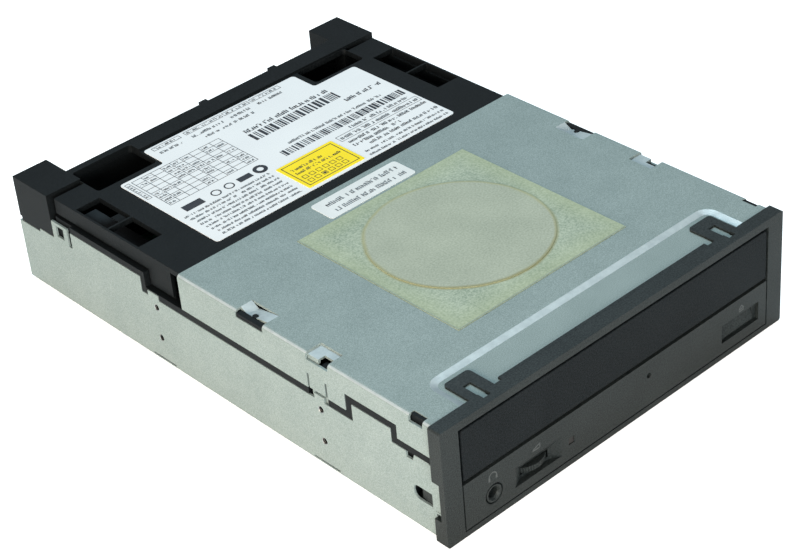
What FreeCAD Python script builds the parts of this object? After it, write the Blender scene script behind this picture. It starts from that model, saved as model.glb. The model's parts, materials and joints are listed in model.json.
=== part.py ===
import FreeCAD, Part
import math
import os

import Sketcher
from FreeCAD import Placement, Rotation, Vector

# A half-height disc drive with a motorised tray, in millimetres.
# X runs to the right as seen from the front, Y from the front bezel to the rear connectors and Z up.
# The origin is the bottom centre of the whole drive.

# Driving dimensions. Names ending in _at are distances behind the front face of the bezel,
# names ending in _z are heights above the lowest edge and names ending in _x are half spacings.
DIMENSIONS = {
    # The drive as a whole
    "total_length": 208.0,
    "bezel_width": 148.0,
    "bezel_height": 41.6,
    "bezel_depth": 4.9,
    "body_width": 146.0,
    "floor_z": 0.4,
    "roof_z": 41.2,
    "sheet": 0.8,
    "bend": 1.3,
    "slide_gap": 0.3,
    "bore_gap": 0.05,
    "rest_gap": 0.2,
    # The zigzag seam between the upper and the lower shell
    "seam_rib": 2.2,
    "seam_gap": 0.25,
    "seam_nose_z": 28.2,
    "seam_high_z": 33.0,
    "seam_low_z": 26.9,
    "seam_back_z": 32.6,
    "front_step_at": 20.6,
    "mid_step_at": 39.8,
    "back_step_at": 137.8,
    "seam_end_at": 177.1,
    # Bottom chassis
    "catch_front_at": 179.0,
    "catch_back_at": 187.7,
    "catch_top_z": 32.0,
    "catch_hole": 4.2,
    "chassis_back_z": 25.2,
    "chassis_tail_z": 24.0,
    "post_foot_at": 196.0,
    "mount_front_at": 53.0,
    "mount_pitch": 79.25,
    "mount_low_z": 10.4,
    "mount_rise": 11.84,
    "mount_bottom_x": 69.85,
    "mount_hole": 1.25,
    "hook_hole_front_at": 6.3,
    "hook_hole_back_at": 14.1,
    "hook_hole_z": 13.8,
    "hook_hole_height": 4.8,
    "nose_tab_at": 2.4,
    "nose_tab_low_z": 10.0,
    "nose_tab_high_z": 22.0,
    "bridge_tab_front_at": 51.0,
    "bridge_tab_back_at": 55.4,
    "rear_tab_front_at": 130.5,
    "rear_tab_back_at": 136.0,
    "rolled_lip_front_at": 6.9,
    "rolled_lip_back_at": 13.3,
    "rolled_lip": 2.0,
    "lip_notch_back_at": 16.0,
    "lance_length": 12.0,
    "lance_low_z": 1.7,
    "lance_high_z": 2.3,
    "floor_panel_x": 48.0,
    "floor_panel_front_at": 46.0,
    "floor_panel_back_at": 94.0,
    "floor_panel_lift": 0.5,
    # Top cover
    "cover_end_at": 117.9,
    "cover_step_x": 61.0,
    "cover_step_at": 20.2,
    "cover_step_drop": 0.7,
    "cover_step_run": 2.2,
    "ring_radius": 30.0,
    "ring_lift": 0.25,
    "notch_a_front_at": 77.0,
    "notch_a_back_at": 89.5,
    "notch_a_x": 66.0,
    "notch_b_front_at": 47.7,
    "notch_b_back_at": 57.3,
    "notch_b_x": 66.7,
    "notch_c_front_at": 8.0,
    "notch_c_back_at": 13.6,
    "notch_c_x": 70.6,
    "notch_depth": 2.5,
    "notch_tab_drop": 1.6,
    "notch_tab_ramp": 3.0,
    "notch_tab_lip": 4.6,
    "notch_pin": 0.9,
    "notch_pin_x": 70.1,
    "notch_pin_at": 83.4,
    "inner_tab_at": 52.5,
    "inner_tab_x": 69.5,
    "inner_tab_lap": 1.2,
    "spring_tab_front_at": 49.0,
    "spring_tab_back_at": 57.8,
    "slit": 0.9,
    "slit_top_z": 33.6,
    "spring_tab_low_z": 23.5,
    # Rear cover
    "deck_z": 40.4,
    "deck_wall": 2.0,
    "deck_x": 71.3,
    "deck_skin": 0.7,
    "deck_lip": 1.5,
    "deck_groove": 1.0,
    "deck_end_at": 186.0,
    "slot_front_at": 119.5,
    "slot_back_at": 124.0,
    "slot_top_z": 38.4,
    "rim_front_at": 188.0,
    "rim_back_at": 196.0,
    "rim_z": 41.3,
    "rear_wall": 2.5,
    "rear_wall_z": 17.5,
    "post_x": 59.0,
    "post_end_at": 207.5,
    "post_wall": 2.0,
    "nub": 1.6,
    "nub_one_x": 0.7,
    "nub_two_x": 32.2,
    "window_outer_x": 71.2,
    "window_inner_x": 61.0,
    "window_web_at": 157.1,
    "window_web": 0.8,
    "window_front_at": 140.8,
    "window_back_at": 174.6,
    "left_window_outer_x": 58.8,
    "left_window_inner_x": 34.4,
    "left_window_front_at": 178.0,
    "left_window_back_at": 193.0,
    "right_window_outer_x": 60.0,
    "right_window_inner_x": 36.0,
    "right_window_front_at": 177.0,
    "right_window_back_at": 187.8,
    # Labels and film
    "paper": 0.12,
    "film_x": 36.2,
    "film_front_at": 31.0,
    "film_back_at": 103.4,
    "small_label_left": -20.5,
    "small_label_right": 16.5,
    "small_label_front_at": 104.5,
    "small_label_back_at": 115.5,
    "rating_x": 52.3,
    "rating_inner_x": 33.6,
    "rating_front_at": 123.5,
    "rating_step_at": 175.2,
    "rating_back_at": 186.9,
    "notice_x": 12.2,
    "notice_front_at": 125.0,
    "notice_back_at": 142.4,
    # Front bezel
    "bezel_face": 2.4,
    "bezel_skirt": 2.5,
    "opening_x": 67.1,
    "opening_low_z": 18.9,
    "opening_high_z": 38.8,
    "lid_gap": 0.8,
    "lid_drop": 1.2,
    "lid_thick": 2.2,
    "lid_corner": 1.5,
    "groove": 0.5,
    "groove_x": 67.1,
    "groove_z": 2.4,
    "latch_inner_x": 47.5,
    "latch_outer_x": 57.5,
    "latch_end_at": 15.8,
    "latch_z": 41.3,
    "latch_slot_inner_x": 51.4,
    "latch_slot_outer_x": 54.3,
    "latch_slot_front_at": 2.6,
    "latch_slot_back_at": 11.0,
    "lip_x": 44.5,
    "lip_end_at": 6.8,
    "jack_x": -55.0,
    "jack_z": 8.9,
    "jack_nose": 3.0,
    "jack_bore": 1.8,
    "jack_mouth": 2.5,
    "jack_ring": 0.5,
    "dial_left_x": -47.6,
    "dial_right_x": -26.2,
    "dial_low_z": 5.6,
    "dial_high_z": 13.2,
    "dial_recess": 2.0,
    "dial_x": -36.9,
    "dial_slot": 5.9,
    "dial_slot_low_z": 6.7,
    "dial_slot_high_z": 9.5,
    "dial_radius": 8.0,
    "dial_thick": 1.8,
    "dial_knurl": 0.25,
    "dial_knurls": 60,
    "dial_proud": 0.2,
    "lamp_x": -22.9,
    "lamp_z": 8.9,
    "lamp_size": 2.4,
    "pinhole_x": 11.3,
    "pinhole_z": 13.2,
    "pinhole": 0.95,
    "eject_left_x": 45.2,
    "eject_right_x": 62.9,
    "eject_low_z": 6.2,
    "eject_high_z": 12.9,
    "eject_ledge": 1.3,
    "button_left_x": 45.6,
    "button_right_x": 60.4,
    "button_low_z": 7.9,
    "button_high_z": 12.6,
    "button_proud": 0.2,
    "button_lean": 1.6,
    "button_travel": 1.2,
    # Tray and its guides
    "disc_at": 67.7,
    "disc_recess": 60.6,
    "small_recess": 40.5,
    "tray_x": 62.5,
    "tray_low_z": 24.0,
    "tray_floor_z": 27.0,
    "small_floor_z": 25.6,
    "tray_rim_z": 30.5,
    "tray_front_at": 4.2,
    "tray_plate_at": 150.0,
    "tray_end_at": 184.0,
    "tray_arm": 5.0,
    "slot_radius": 18.5,
    "runner_x": 66.2,
    "runner_low_z": 25.5,
    "runner_high_z": 28.0,
    "rack_x": 60.0,
    "rack_back": 1.6,
    "rack_low_z": 20.6,
    "rack_front_at": 14.0,
    "rack_end_at": 176.0,
    # Loading gears
    "gear_line_at": 26.0,
    "tooth": 1.0,
    "tray_gear_teeth": 24,
    "pinion_teeth": 10,
    "gear_low_z": 20.7,
    "gear_high_z": 23.5,
    "gear_hub": 3.6,
    "axle": 1.5,
    "pulley_low_z": 15.6,
    "pulley_high_z": 18.6,
    "pulley_rim": 12.5,
    "pulley_groove": 11.5,
    "motor_x": 26.0,
    "motor_radius": 12.0,
    "motor_low_z": 1.6,
    "motor_rim": 3.4,
    "motor_groove": 2.4,
    "motor_shaft": 1.0,
    "belt": 1.1,
    # Main frame
    "frame_wall": 2.5,
    "frame_low_z": 1.5,
    "frame_high_z": 40.3,
    "guide_x": 63.5,
    "guide_low_z": 23.3,
    "guide_high_z": 30.0,
    "plate_low_z": 13.6,
    "plate_high_z": 15.2,
    "plate_front_at": 7.0,
    "apron_front_at": 39.2,
    "apron_back_at": 40.8,
    "apron_x": 52.0,
    "bar_front_at": 158.0,
    "bar_back_at": 161.0,
    "bar_low_z": 6.0,
    "bar_high_z": 20.0,
    "boss_inner_x": 62.5,
    "boss_front_at": 29.0,
    "boss_back_at": 91.0,
    "boss_size": 6.4,
    "boss_high_z": 11.0,
    "bridge_low_z": 34.0,
    "bridge_front_at": 52.0,
    "bridge_back_at": 84.0,
    "bridge_sheet": 1.5,
    "bridge_boss_x": 63.8,
    "bridge_boss": 9.0,
    # Cam slider
    "slider_front_at": 41.1,
    "slider_back_at": 43.4,
    "slider_left_x": -50.0,
    "slider_right_x": 36.0,
    "slider_low_z": 2.2,
    "slider_high_z": 17.2,
    "slider_travel": 12.0,
    "shelf_high_z": 1.9,
    # Lifter, mechanism plate and pickup
    "hinge_at": 152.0,
    "hinge_z": 14.5,
    "hinge_pin": 2.0,
    "lifter_x": 39.0,
    "lifter_inner_x": 34.0,
    "lifter_front_at": 44.6,
    "lifter_front_bar": 5.0,
    "lifter_inner_end_at": 149.0,
    "lifter_end_at": 155.0,
    "lifter_low_z": 11.0,
    "lifter_high_z": 16.0,
    "cam_pin_x": 28.0,
    "cam_pin_z": 13.5,
    "cam_pin": 1.4,
    "cam_drop": 8.66,
    "ear_inner_x": 25.0,
    "ear_size": 8.0,
    "ear_low_z": 13.0,
    "ear_front_at": 56.0,
    "ear_back_at": 144.0,
    "mech_low_z": 17.0,
    "mech_high_z": 18.2,
    "mech_x": 32.0,
    "mech_front_at": 51.5,
    "mech_end_at": 148.5,
    "mech_open_x": 24.6,
    "mech_open_front_at": 82.2,
    "mech_open_end_at": 139.0,
    "damper_x": 29.0,
    "damper_radius": 2.8,
    "damper_high_z": 20.2,
    "damper_screw": 1.0,
    "rod_x": 21.8,
    "rod_z": 14.5,
    "rod_radius": 1.5,
    "rod_front_at": 79.6,
    "rod_end_at": 141.6,
    "holder": 2.6,
    "sled_x": 18.0,
    "sled_front_at": 84.2,
    "sled_end_at": 104.2,
    "sled_low_z": 12.0,
    "sled_high_z": 21.0,
    "sled_ear": 2.6,
    "lens_at": 90.7,
    "lens_radius": 2.5,
    "lens_housing_x": 8.0,
    "lens_housing_z": 25.6,
    "lens_top_z": 26.6,
    "screw_x": 28.6,
    "screw_z": 15.5,
    "screw_radius": 1.2,
    "screw_end_at": 138.6,
    "sled_motor_front_at": 60.0,
    "sled_motor_end_at": 78.0,
    "sled_motor_radius": 4.6,
    "spindle_radius": 12.0,
    "spindle_high_z": 24.6,
    "spindle_shaft": 1.0,
    "seat_z": 28.5,
    "seat_radius": 14.0,
    "turntable_low_z": 25.2,
    "cone_radius": 7.3,
    "cone_height": 2.0,
    # Clamper
    "clamper_radius": 14.0,
    "clamper_neck": 9.5,
    "clamper_flange": 13.0,
    "clamper_flange_z": 35.9,
    "clamper_top_z": 37.3,
    "clamper_disc": 1.8,
    "magnet_radius": 8.0,
    "magnet_thick": 2.0,
    # Circuit boards
    "board_low_z": 3.2,
    "board": 1.6,
    "main_board_x": 68.6,
    "main_board_front_at": 100.0,
    "main_board_end_at": 205.0,
    "stud_x": 62.0,
    "stud_front_at": 108.0,
    "stud_back_at": 188.0,
    "stud_radius": 3.0,
    "front_stud_x": 48.0,
    "front_stud_at": 10.0,
    "front_board_left_x": -64.0,
    "front_board_right_x": 66.0,
    "front_board_front_at": 6.0,
    "front_board_back_at": 24.0,
    "front_board_step_x": -15.0,
    "front_board_step_at": 13.2,
    "ribbon_left_x": -62.0,
    "ribbon_right_x": -52.4,
    "ribbon_thick": 0.3,
    "ribbon_z": 6.6,
    "socket_depth": 4.0,
    # Rear connectors
    "connector_front_at": 193.6,
    "connector_end_at": 206.0,
    "pin_pitch": 2.54,
    "pin_size": 0.64,
    "bus_left_x": -43.5,
    "bus_right_x": 29.5,
    "bus_height": 9.2,
    "bus_wall": 1.6,
    "power_left_x": -68.0,
    "power_right_x": -46.5,
    "power_height": 10.4,
    "power_pitch": 5.08,
    "power_pin": 1.05,
    "jumper_left_x": 33.0,
    "jumper_columns": 6,
    "audio_left_x": 53.5,
    "audio_right_x": 66.0,
    "audio_height": 6.6,
}


class Size:
    """A length that carries both its value and the sheet expression it is worked out from."""

    def __init__(self, text, value):
        self.text = text
        self.value = value

    def __add__(self, other):
        other = as_size(other)
        return Size(f"({self.text} + {other.text})", self.value + other.value)

    def __sub__(self, other):
        other = as_size(other)
        return Size(f"({self.text} - {other.text})", self.value - other.value)

    def __mul__(self, other):
        other = as_size(other)
        return Size(f"({self.text} * {other.text})", self.value * other.value)

    def __truediv__(self, other):
        other = as_size(other)
        return Size(f"({self.text} / {other.text})", self.value / other.value)

    def __neg__(self):
        return as_size(0) - self

    def __radd__(self, other):
        return as_size(other) + self

    def __rsub__(self, other):
        return as_size(other) - self

    def __rmul__(self, other):
        return as_size(other) * self


def as_size(number):
    return number if isinstance(number, Size) else Size(str(number), number)


def cosine(degrees):
    return Size(f"cos({degrees.text} * 1 deg)", math.cos(math.radians(degrees.value)))


def sine(degrees):
    return Size(f"sin({degrees.text} * 1 deg)", math.sin(math.radians(degrees.value)))


def arctangent(ratio):
    return Size(f"atan({ratio.text})", math.degrees(math.atan(ratio.value)))


class Sheet:
    """The spreadsheet of driving dimensions; each alias reads as a Size."""

    def __init__(self, document):
        self.cells = document.addObject("Spreadsheet::Sheet", "Sizes")
        for row, (alias, value) in enumerate(DIMENSIONS.items(), start=1):
            self.cells.set(f"A{row}", alias.replace("_", " "))
            self.cells.set(f"B{row}", str(value))
            self.cells.setAlias(f"B{row}", alias)

    def __getattr__(self, alias):
        return Size(f"Sizes.{alias}", DIMENSIONS[alias])


document = FreeCAD.newDocument("Drive")
d = Sheet(document)
document.recompute()
subparts = []
groups = []


def bind(item, attribute, size):
    """Set a property of an object to a size, and keep it tied to the sheet."""
    size = as_size(size)
    if "." not in attribute:
        setattr(item, attribute, size.value)
    item.setExpression(attribute, size.text)


def back(distance):
    """The Y coordinate of a station at a distance behind the front face of the bezel."""
    return distance - d.total_length / 2


# Outlines in the plane of a sketch

def circle(u, v, radius):
    return [("circle", as_size(u), as_size(v), as_size(radius))]


def polygon(*corners):
    """A closed outline; a corner given as (u, v, radius) between two square runs is rounded."""
    return [("polygon", [tuple(as_size(number) for number in corner) for corner in corners])]


def rect(u0, v0, u1, v1, radius=None):
    corners = ((u0, v0), (u1, v0), (u1, v1), (u0, v1))
    if radius is None:
        return polygon(*corners)
    return polygon(*(corner + (radius,) for corner in corners))


def mirrored(outline):
    """The same outline on the other side of the first axis of the sketch."""
    copies = []
    for shape in outline:
        if shape[0] == "circle":
            copies.append(("circle", -shape[1], shape[2], shape[3]))
        else:
            copies.append(("polygon", [(-corner[0],) + corner[1:] for corner in shape[1]]))
    return copies


def heading(start, end):
    """The direction of a run that is parallel to an axis of the sketch."""
    step_u = end[0].value - start[0].value
    step_v = end[1].value - start[1].value
    if abs(step_u) > abs(step_v):
        return (math.copysign(1, step_u), 0)
    return (0, math.copysign(1, step_v))


def corner_stops(corners):
    """Where the outline reaches and leaves each corner, and the centre of a rounded one."""
    stops = []
    for index, corner in enumerate(corners):
        if len(corner) == 2:
            stops.append((corner, corner, None, None))
            continue
        u, v, radius = corner
        behind = heading(corner, corners[index - 1])
        ahead = heading(corner, corners[(index + 1) % len(corners)])
        reach = (u + radius * behind[0], v + radius * behind[1])
        leave = (u + radius * ahead[0], v + radius * ahead[1])
        centre = (reach[0] + radius * ahead[0], reach[1] + radius * ahead[1])
        stops.append((reach, leave, centre, radius))
    return stops


def flat(point):
    return Vector(point[0].value, point[1].value, 0)


def arc_between(start, end, centre, radius):
    """An arc from start to end, and which of its two ends is its start."""
    first = flat(start) - flat(centre)
    last = flat(end) - flat(centre)
    turns_left = first.x * last.y - first.y * last.x > 0
    if not turns_left:
        first, last = last, first
    angles = [math.atan2(arm.y, arm.x) for arm in (first, last)]
    if angles[1] < angles[0]:
        angles[1] += 2 * math.pi
    disc = Part.Circle(flat(centre), Vector(0, 0, 1), radius.value)
    return Part.ArcOfCircle(disc, *angles), (1 if turns_left else 2)


def draw_polygon(sketch, corners):
    """Lines and corner arcs, joined end to end, with every joint placed from the sheet."""
    runs = []
    stops = corner_stops(corners)
    for index, (reach, leave, centre, radius) in enumerate(stops):
        if radius is not None:
            arc, start_end = arc_between(reach, leave, centre, radius)
            runs.append((sketch.addGeometry(arc, False), start_end, reach, radius))
        arrival = stops[(index + 1) % len(stops)][0]
        if (flat(arrival) - flat(leave)).Length > 1e-6:
            line = Part.LineSegment(flat(leave), flat(arrival))
            runs.append((sketch.addGeometry(line, False), 1, leave, None))
    constraints = []
    sizes = []
    for index, (geometry, start_end, start, radius) in enumerate(runs):
        before, before_start, _, _ = runs[index - 1]
        joint = Sketcher.Constraint("Coincident", before, 3 - before_start, geometry, start_end)
        across = Sketcher.Constraint("DistanceX", -1, 1, geometry, start_end, start[0].value)
        along = Sketcher.Constraint("DistanceY", -1, 1, geometry, start_end, start[1].value)
        constraints += [joint, across, along]
        sizes += [None, start[0], start[1]]
        if radius is not None:
            constraints.append(Sketcher.Constraint("Radius", geometry, radius.value))
            sizes.append(radius)
    return constraints, sizes


def draw_circle(sketch, u, v, radius):
    disc = Part.Circle(Vector(u.value, v.value, 0), Vector(0, 0, 1), radius.value)
    geometry = sketch.addGeometry(disc, False)
    constraints = [
        Sketcher.Constraint("DistanceX", -1, 1, geometry, 3, u.value),
        Sketcher.Constraint("DistanceY", -1, 1, geometry, 3, v.value),
        Sketcher.Constraint("Radius", geometry, radius.value),
    ]
    return constraints, [u, v, radius]


def draw(sketch, outlines):
    for outline in outlines:
        for shape in outline:
            if shape[0] == "circle":
                constraints, sizes = draw_circle(sketch, *shape[1:])
            else:
                constraints, sizes = draw_polygon(sketch, shape[1])
            places = sketch.addConstraint(constraints)
            for place, size in zip(places, sizes):
                if size is not None:
                    sketch.setExpression(f"Constraints[{place}]", size.text)


# Bodies and their features. A sketch across X shows Y and Z, one across Y shows X and Z
# and one across Z shows X and Y.
PLANES = {"X": ("YZ_Plane", 1), "Y": ("XZ_Plane", -1), "Z": ("XY_Plane", 1)}


def new_body(name, several=False):
    """A body; one that holds several loose solids, such as a set of screws, says so."""
    body = document.addObject("PartDesign::Body", name)
    body.AllowCompound = True
    subparts.append(body)
    if several:
        groups.append(name)
    return body


def sketch_across(body, axis, station, outlines):
    role, facing = PLANES[axis]
    sketch = body.newObject("Sketcher::SketchObject", body.Name + "_outline")
    sketch.AttachmentSupport = [(next(p for p in body.Origin.OriginFeatures if p.Role == role), "")]
    sketch.MapMode = "FlatFace"
    bind(sketch, "AttachmentOffset.Base.z", as_size(station) * facing)
    draw(sketch, outlines)
    return sketch


def add(body, axis, low, high, *outlines):
    """Material between two stations along an axis."""
    pad = body.newObject("PartDesign::Pad", body.Name + "_pad")
    pad.Profile = sketch_across(body, axis, low, outlines)
    pad.Reversed = PLANES[axis][1] < 0
    bind(pad, "Length", as_size(high) - low)
    body.Tip = pad
    return pad


def cut(body, axis, low, high, *outlines):
    """A recess or hole between two stations along an axis."""
    pocket = body.newObject("PartDesign::Pocket", body.Name + "_pocket")
    pocket.Profile = sketch_across(body, axis, low, outlines)
    pocket.Reversed = PLANES[axis][1] > 0
    bind(pocket, "Length", as_size(high) - low)
    body.Tip = pocket
    return pocket


def funnel(body, front, mouth, end, throat):
    """A recess that narrows from its mouth to its throat, from front to back."""
    loft = body.newObject("PartDesign::SubtractiveLoft", body.Name + "_funnel")
    loft.Profile = sketch_across(body, "Y", front, [mouth])
    loft.Sections = [sketch_across(body, "Y", end, [throat])]
    loft.Ruled = True
    body.Tip = loft
    return loft


def turn(body, *outlines, feature="PartDesign::Revolution"):
    """Turn an outline of radius and height about the body's own upright axis."""
    sketch = sketch_across(body, "Y", 0, outlines)
    turned = body.newObject(feature, body.Name + "_turned")
    turned.Profile = sketch
    turned.ReferenceAxis = (sketch, ["V_Axis"])
    body.Tip = turned
    return turned


def round_copies(body, feature, count):
    """Repeat a feature evenly about the body's own upright axis."""
    pattern = body.newObject("PartDesign::PolarPattern", body.Name + "_pattern")
    pattern.Originals = [feature]
    pattern.Axis = (feature.Profile[0], ["N_Axis"])
    pattern.Angle = 360
    bind(pattern, "Occurrences", count)
    body.Tip = pattern
    return pattern


def row_copies(body, feature, edge, length, count):
    """Repeat a feature in a straight row along a sketch axis of the feature."""
    pattern = body.newObject("PartDesign::LinearPattern", body.Name + "_row")
    pattern.Originals = [feature]
    pattern.Direction = (feature.Profile[0], [edge])
    bind(pattern, "Length", length)
    bind(pattern, "Occurrences", count)
    body.Tip = pattern
    return pattern


def place(item, x=0, y=0, z=0):
    for letter, size in zip("xyz", (x, y, z)):
        bind(item, f"Placement.Base.{letter}", size)


# Sizes that several pieces share

half_body = d.body_width / 2
wall_inner = half_body - d.sheet
frame_outer = wall_inner - d.slide_gap
frame_inner = frame_outer - d.frame_wall
floor_top = d.floor_z + d.sheet
roof_under = d.roof_z - d.sheet
board_top = d.board_low_z + d.board
shell_edge = d.seam_rib / 2 + d.seam_gap
beyond = d.bend
bridge_top = d.seam_low_z + shell_edge - d.sheet
mount_rows = (back(d.mount_front_at), back(d.mount_front_at + d.mount_pitch))
tray_gear_radius = d.tooth * d.tray_gear_teeth / 2
pinion_radius = d.tooth * d.pinion_teeth / 2
tray_gear_x = tray_gear_radius + d.tooth + d.rack_back - d.rack_x
pulley_x = tray_gear_x + tray_gear_radius + pinion_radius


def both_sides(inner, outer, low, high, radius=None):
    """Two upright rectangles, one each side of the middle plane."""
    right = rect(inner, low, outer, high, radius)
    return right + mirrored(right)


def seam_line(shift):
    """The zigzag seam along the side, moved up or down and kept parallel to itself."""
    return (
        (back(d.front_step_at) - shift, d.seam_nose_z + shift),
        (back(d.front_step_at) - shift, d.seam_high_z + shift),
        (back(d.mid_step_at) + shift, d.seam_high_z + shift),
        (back(d.mid_step_at) + shift, d.seam_low_z + shift),
        (back(d.back_step_at) - shift, d.seam_low_z + shift),
        (back(d.back_step_at) - shift, d.seam_back_z + shift),
    )


# Shells

def bottom_chassis():
    body = new_body("bottom_chassis")
    top = d.catch_top_z
    fold = d.bend - d.sheet
    front = back(d.bezel_depth)
    end = back(d.total_length)
    add(body, "Y", front, end, polygon(
        (-half_body, top), (-half_body, d.floor_z, d.bend), (half_body, d.floor_z, d.bend),
        (half_body, top), (wall_inner, top), (wall_inner, floor_top, fold),
        (-wall_inner, floor_top, fold), (-wall_inner, top)))
    slit_front = back(d.seam_end_at)
    catch_front = back(d.catch_front_at)
    catch_back = back(d.catch_back_at)
    edge = seam_line(-shell_edge)
    cut(body, "X", -half_body - beyond, half_body + beyond, polygon(
        (front - beyond, edge[0][1]), *edge, (slit_front, edge[-1][1]), (slit_front, d.chassis_back_z),
        (catch_front, d.chassis_back_z), (catch_front, top + beyond), (front - beyond, top + beyond)))
    cut(body, "X", -half_body - beyond, half_body + beyond, polygon(
        (catch_back, top + beyond), (catch_back, d.chassis_back_z),
        (back(d.post_foot_at), d.chassis_back_z), (back(d.post_foot_at), d.chassis_tail_z),
        (end + beyond, d.chassis_tail_z), (end + beyond, top + beyond)))
    catch_middle = (catch_front + catch_back) / 2
    catch_low = d.catch_top_z - d.catch_hole - d.sheet * 1.4
    holes = rect(catch_middle - d.catch_hole / 2, catch_low,
                 catch_middle + d.catch_hole / 2, catch_low + d.catch_hole)
    for row in mount_rows:
        holes += circle(row, d.mount_low_z, d.mount_hole)
        holes += circle(row, d.mount_low_z + d.mount_rise, d.mount_hole)
        holes += rect(row - d.lance_length / 2, d.lance_low_z, row + d.lance_length / 2, d.lance_high_z)
    hook_top = d.hook_hole_z + d.hook_hole_height / 2
    hook_low = d.hook_hole_z - d.hook_hole_height / 2
    hook_round = d.hook_hole_height * 0.45
    holes += polygon(
        (back(d.hook_hole_front_at), hook_low), (back(d.hook_hole_back_at), hook_low, hook_round),
        (back(d.hook_hole_back_at), hook_top, hook_round), (back(d.hook_hole_front_at), hook_top))
    cut(body, "X", -half_body - beyond, half_body + beyond, holes)
    side_tabs = rect(back(d.nose_tab_at), d.nose_tab_low_z, front, d.nose_tab_high_z)
    for tab_front, tab_back in (
            (d.bridge_tab_front_at, d.bridge_tab_back_at), (d.rear_tab_front_at, d.rear_tab_back_at)):
        side_tabs += rect(back(tab_front), d.seam_low_z - shell_edge, back(tab_back), bridge_top)
    add(body, "X", wall_inner, half_body, side_tabs)
    add(body, "X", -half_body, -wall_inner, side_tabs)
    lip_top = edge[0][1]
    rolled = polygon(
        (half_body, lip_top - d.rolled_lip), (half_body + beyond, lip_top - d.rolled_lip),
        (half_body + beyond, lip_top + beyond), (wall_inner + d.slit / 8, lip_top + beyond),
        (wall_inner + d.slit / 8, lip_top))
    cut(body, "Y", back(d.rolled_lip_front_at), back(d.rolled_lip_back_at), rolled, mirrored(rolled))
    cut(body, "X", -half_body - beyond, half_body + beyond, rect(
        back(d.rolled_lip_back_at), lip_top - d.rolled_lip, back(d.lip_notch_back_at), lip_top + beyond))
    flap_root = back(d.hook_hole_front_at) - d.rest_gap
    flap = polygon(
        (half_body, flap_root), (half_body + beyond, flap_root),
        (half_body + beyond, back(d.nose_tab_at) - beyond),
        (wall_inner + d.sheet / 4, back(d.nose_tab_at) - beyond),
        (wall_inner + d.sheet / 4, back(d.nose_tab_at)))
    cut(body, "Z", hook_low - d.sheet, hook_top + d.sheet, flap, mirrored(flap))
    panel = rect(-d.floor_panel_x, back(d.floor_panel_front_at),
                 d.floor_panel_x, back(d.floor_panel_back_at), d.bend * 3)
    inner_panel = rect(
        d.sheet - d.floor_panel_x, back(d.floor_panel_front_at) + d.sheet,
        d.floor_panel_x - d.sheet, back(d.floor_panel_back_at) - d.sheet, d.bend * 3)
    add(body, "Z", floor_top, floor_top + d.floor_panel_lift, panel)
    cut(body, "Z", d.floor_z, d.floor_z + d.floor_panel_lift, inner_panel)
    studs = []
    stud_holes = []
    screw_holes = []
    for side in (-1, 1):
        studs += circle(side * d.front_stud_x, back(d.front_stud_at), d.stud_radius)
        for station in (d.stud_front_at, d.stud_back_at):
            studs += circle(side * d.stud_x, back(station), d.stud_radius)
            stud_holes += circle(side * d.stud_x, back(station), d.mount_hole)
        for station in (d.boss_front_at, d.boss_back_at):
            screw_holes += circle(side * boss_x, back(station), d.axle)
        for row in mount_rows:
            screw_holes += circle(side * d.mount_bottom_x, row, d.mount_hole)
    add(body, "Z", floor_top, d.board_low_z, studs)
    cut(body, "Z", d.floor_z, d.board_low_z, stud_holes + screw_holes)
    return body


boss_x = (d.boss_inner_x + frame_inner) / 2


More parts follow.
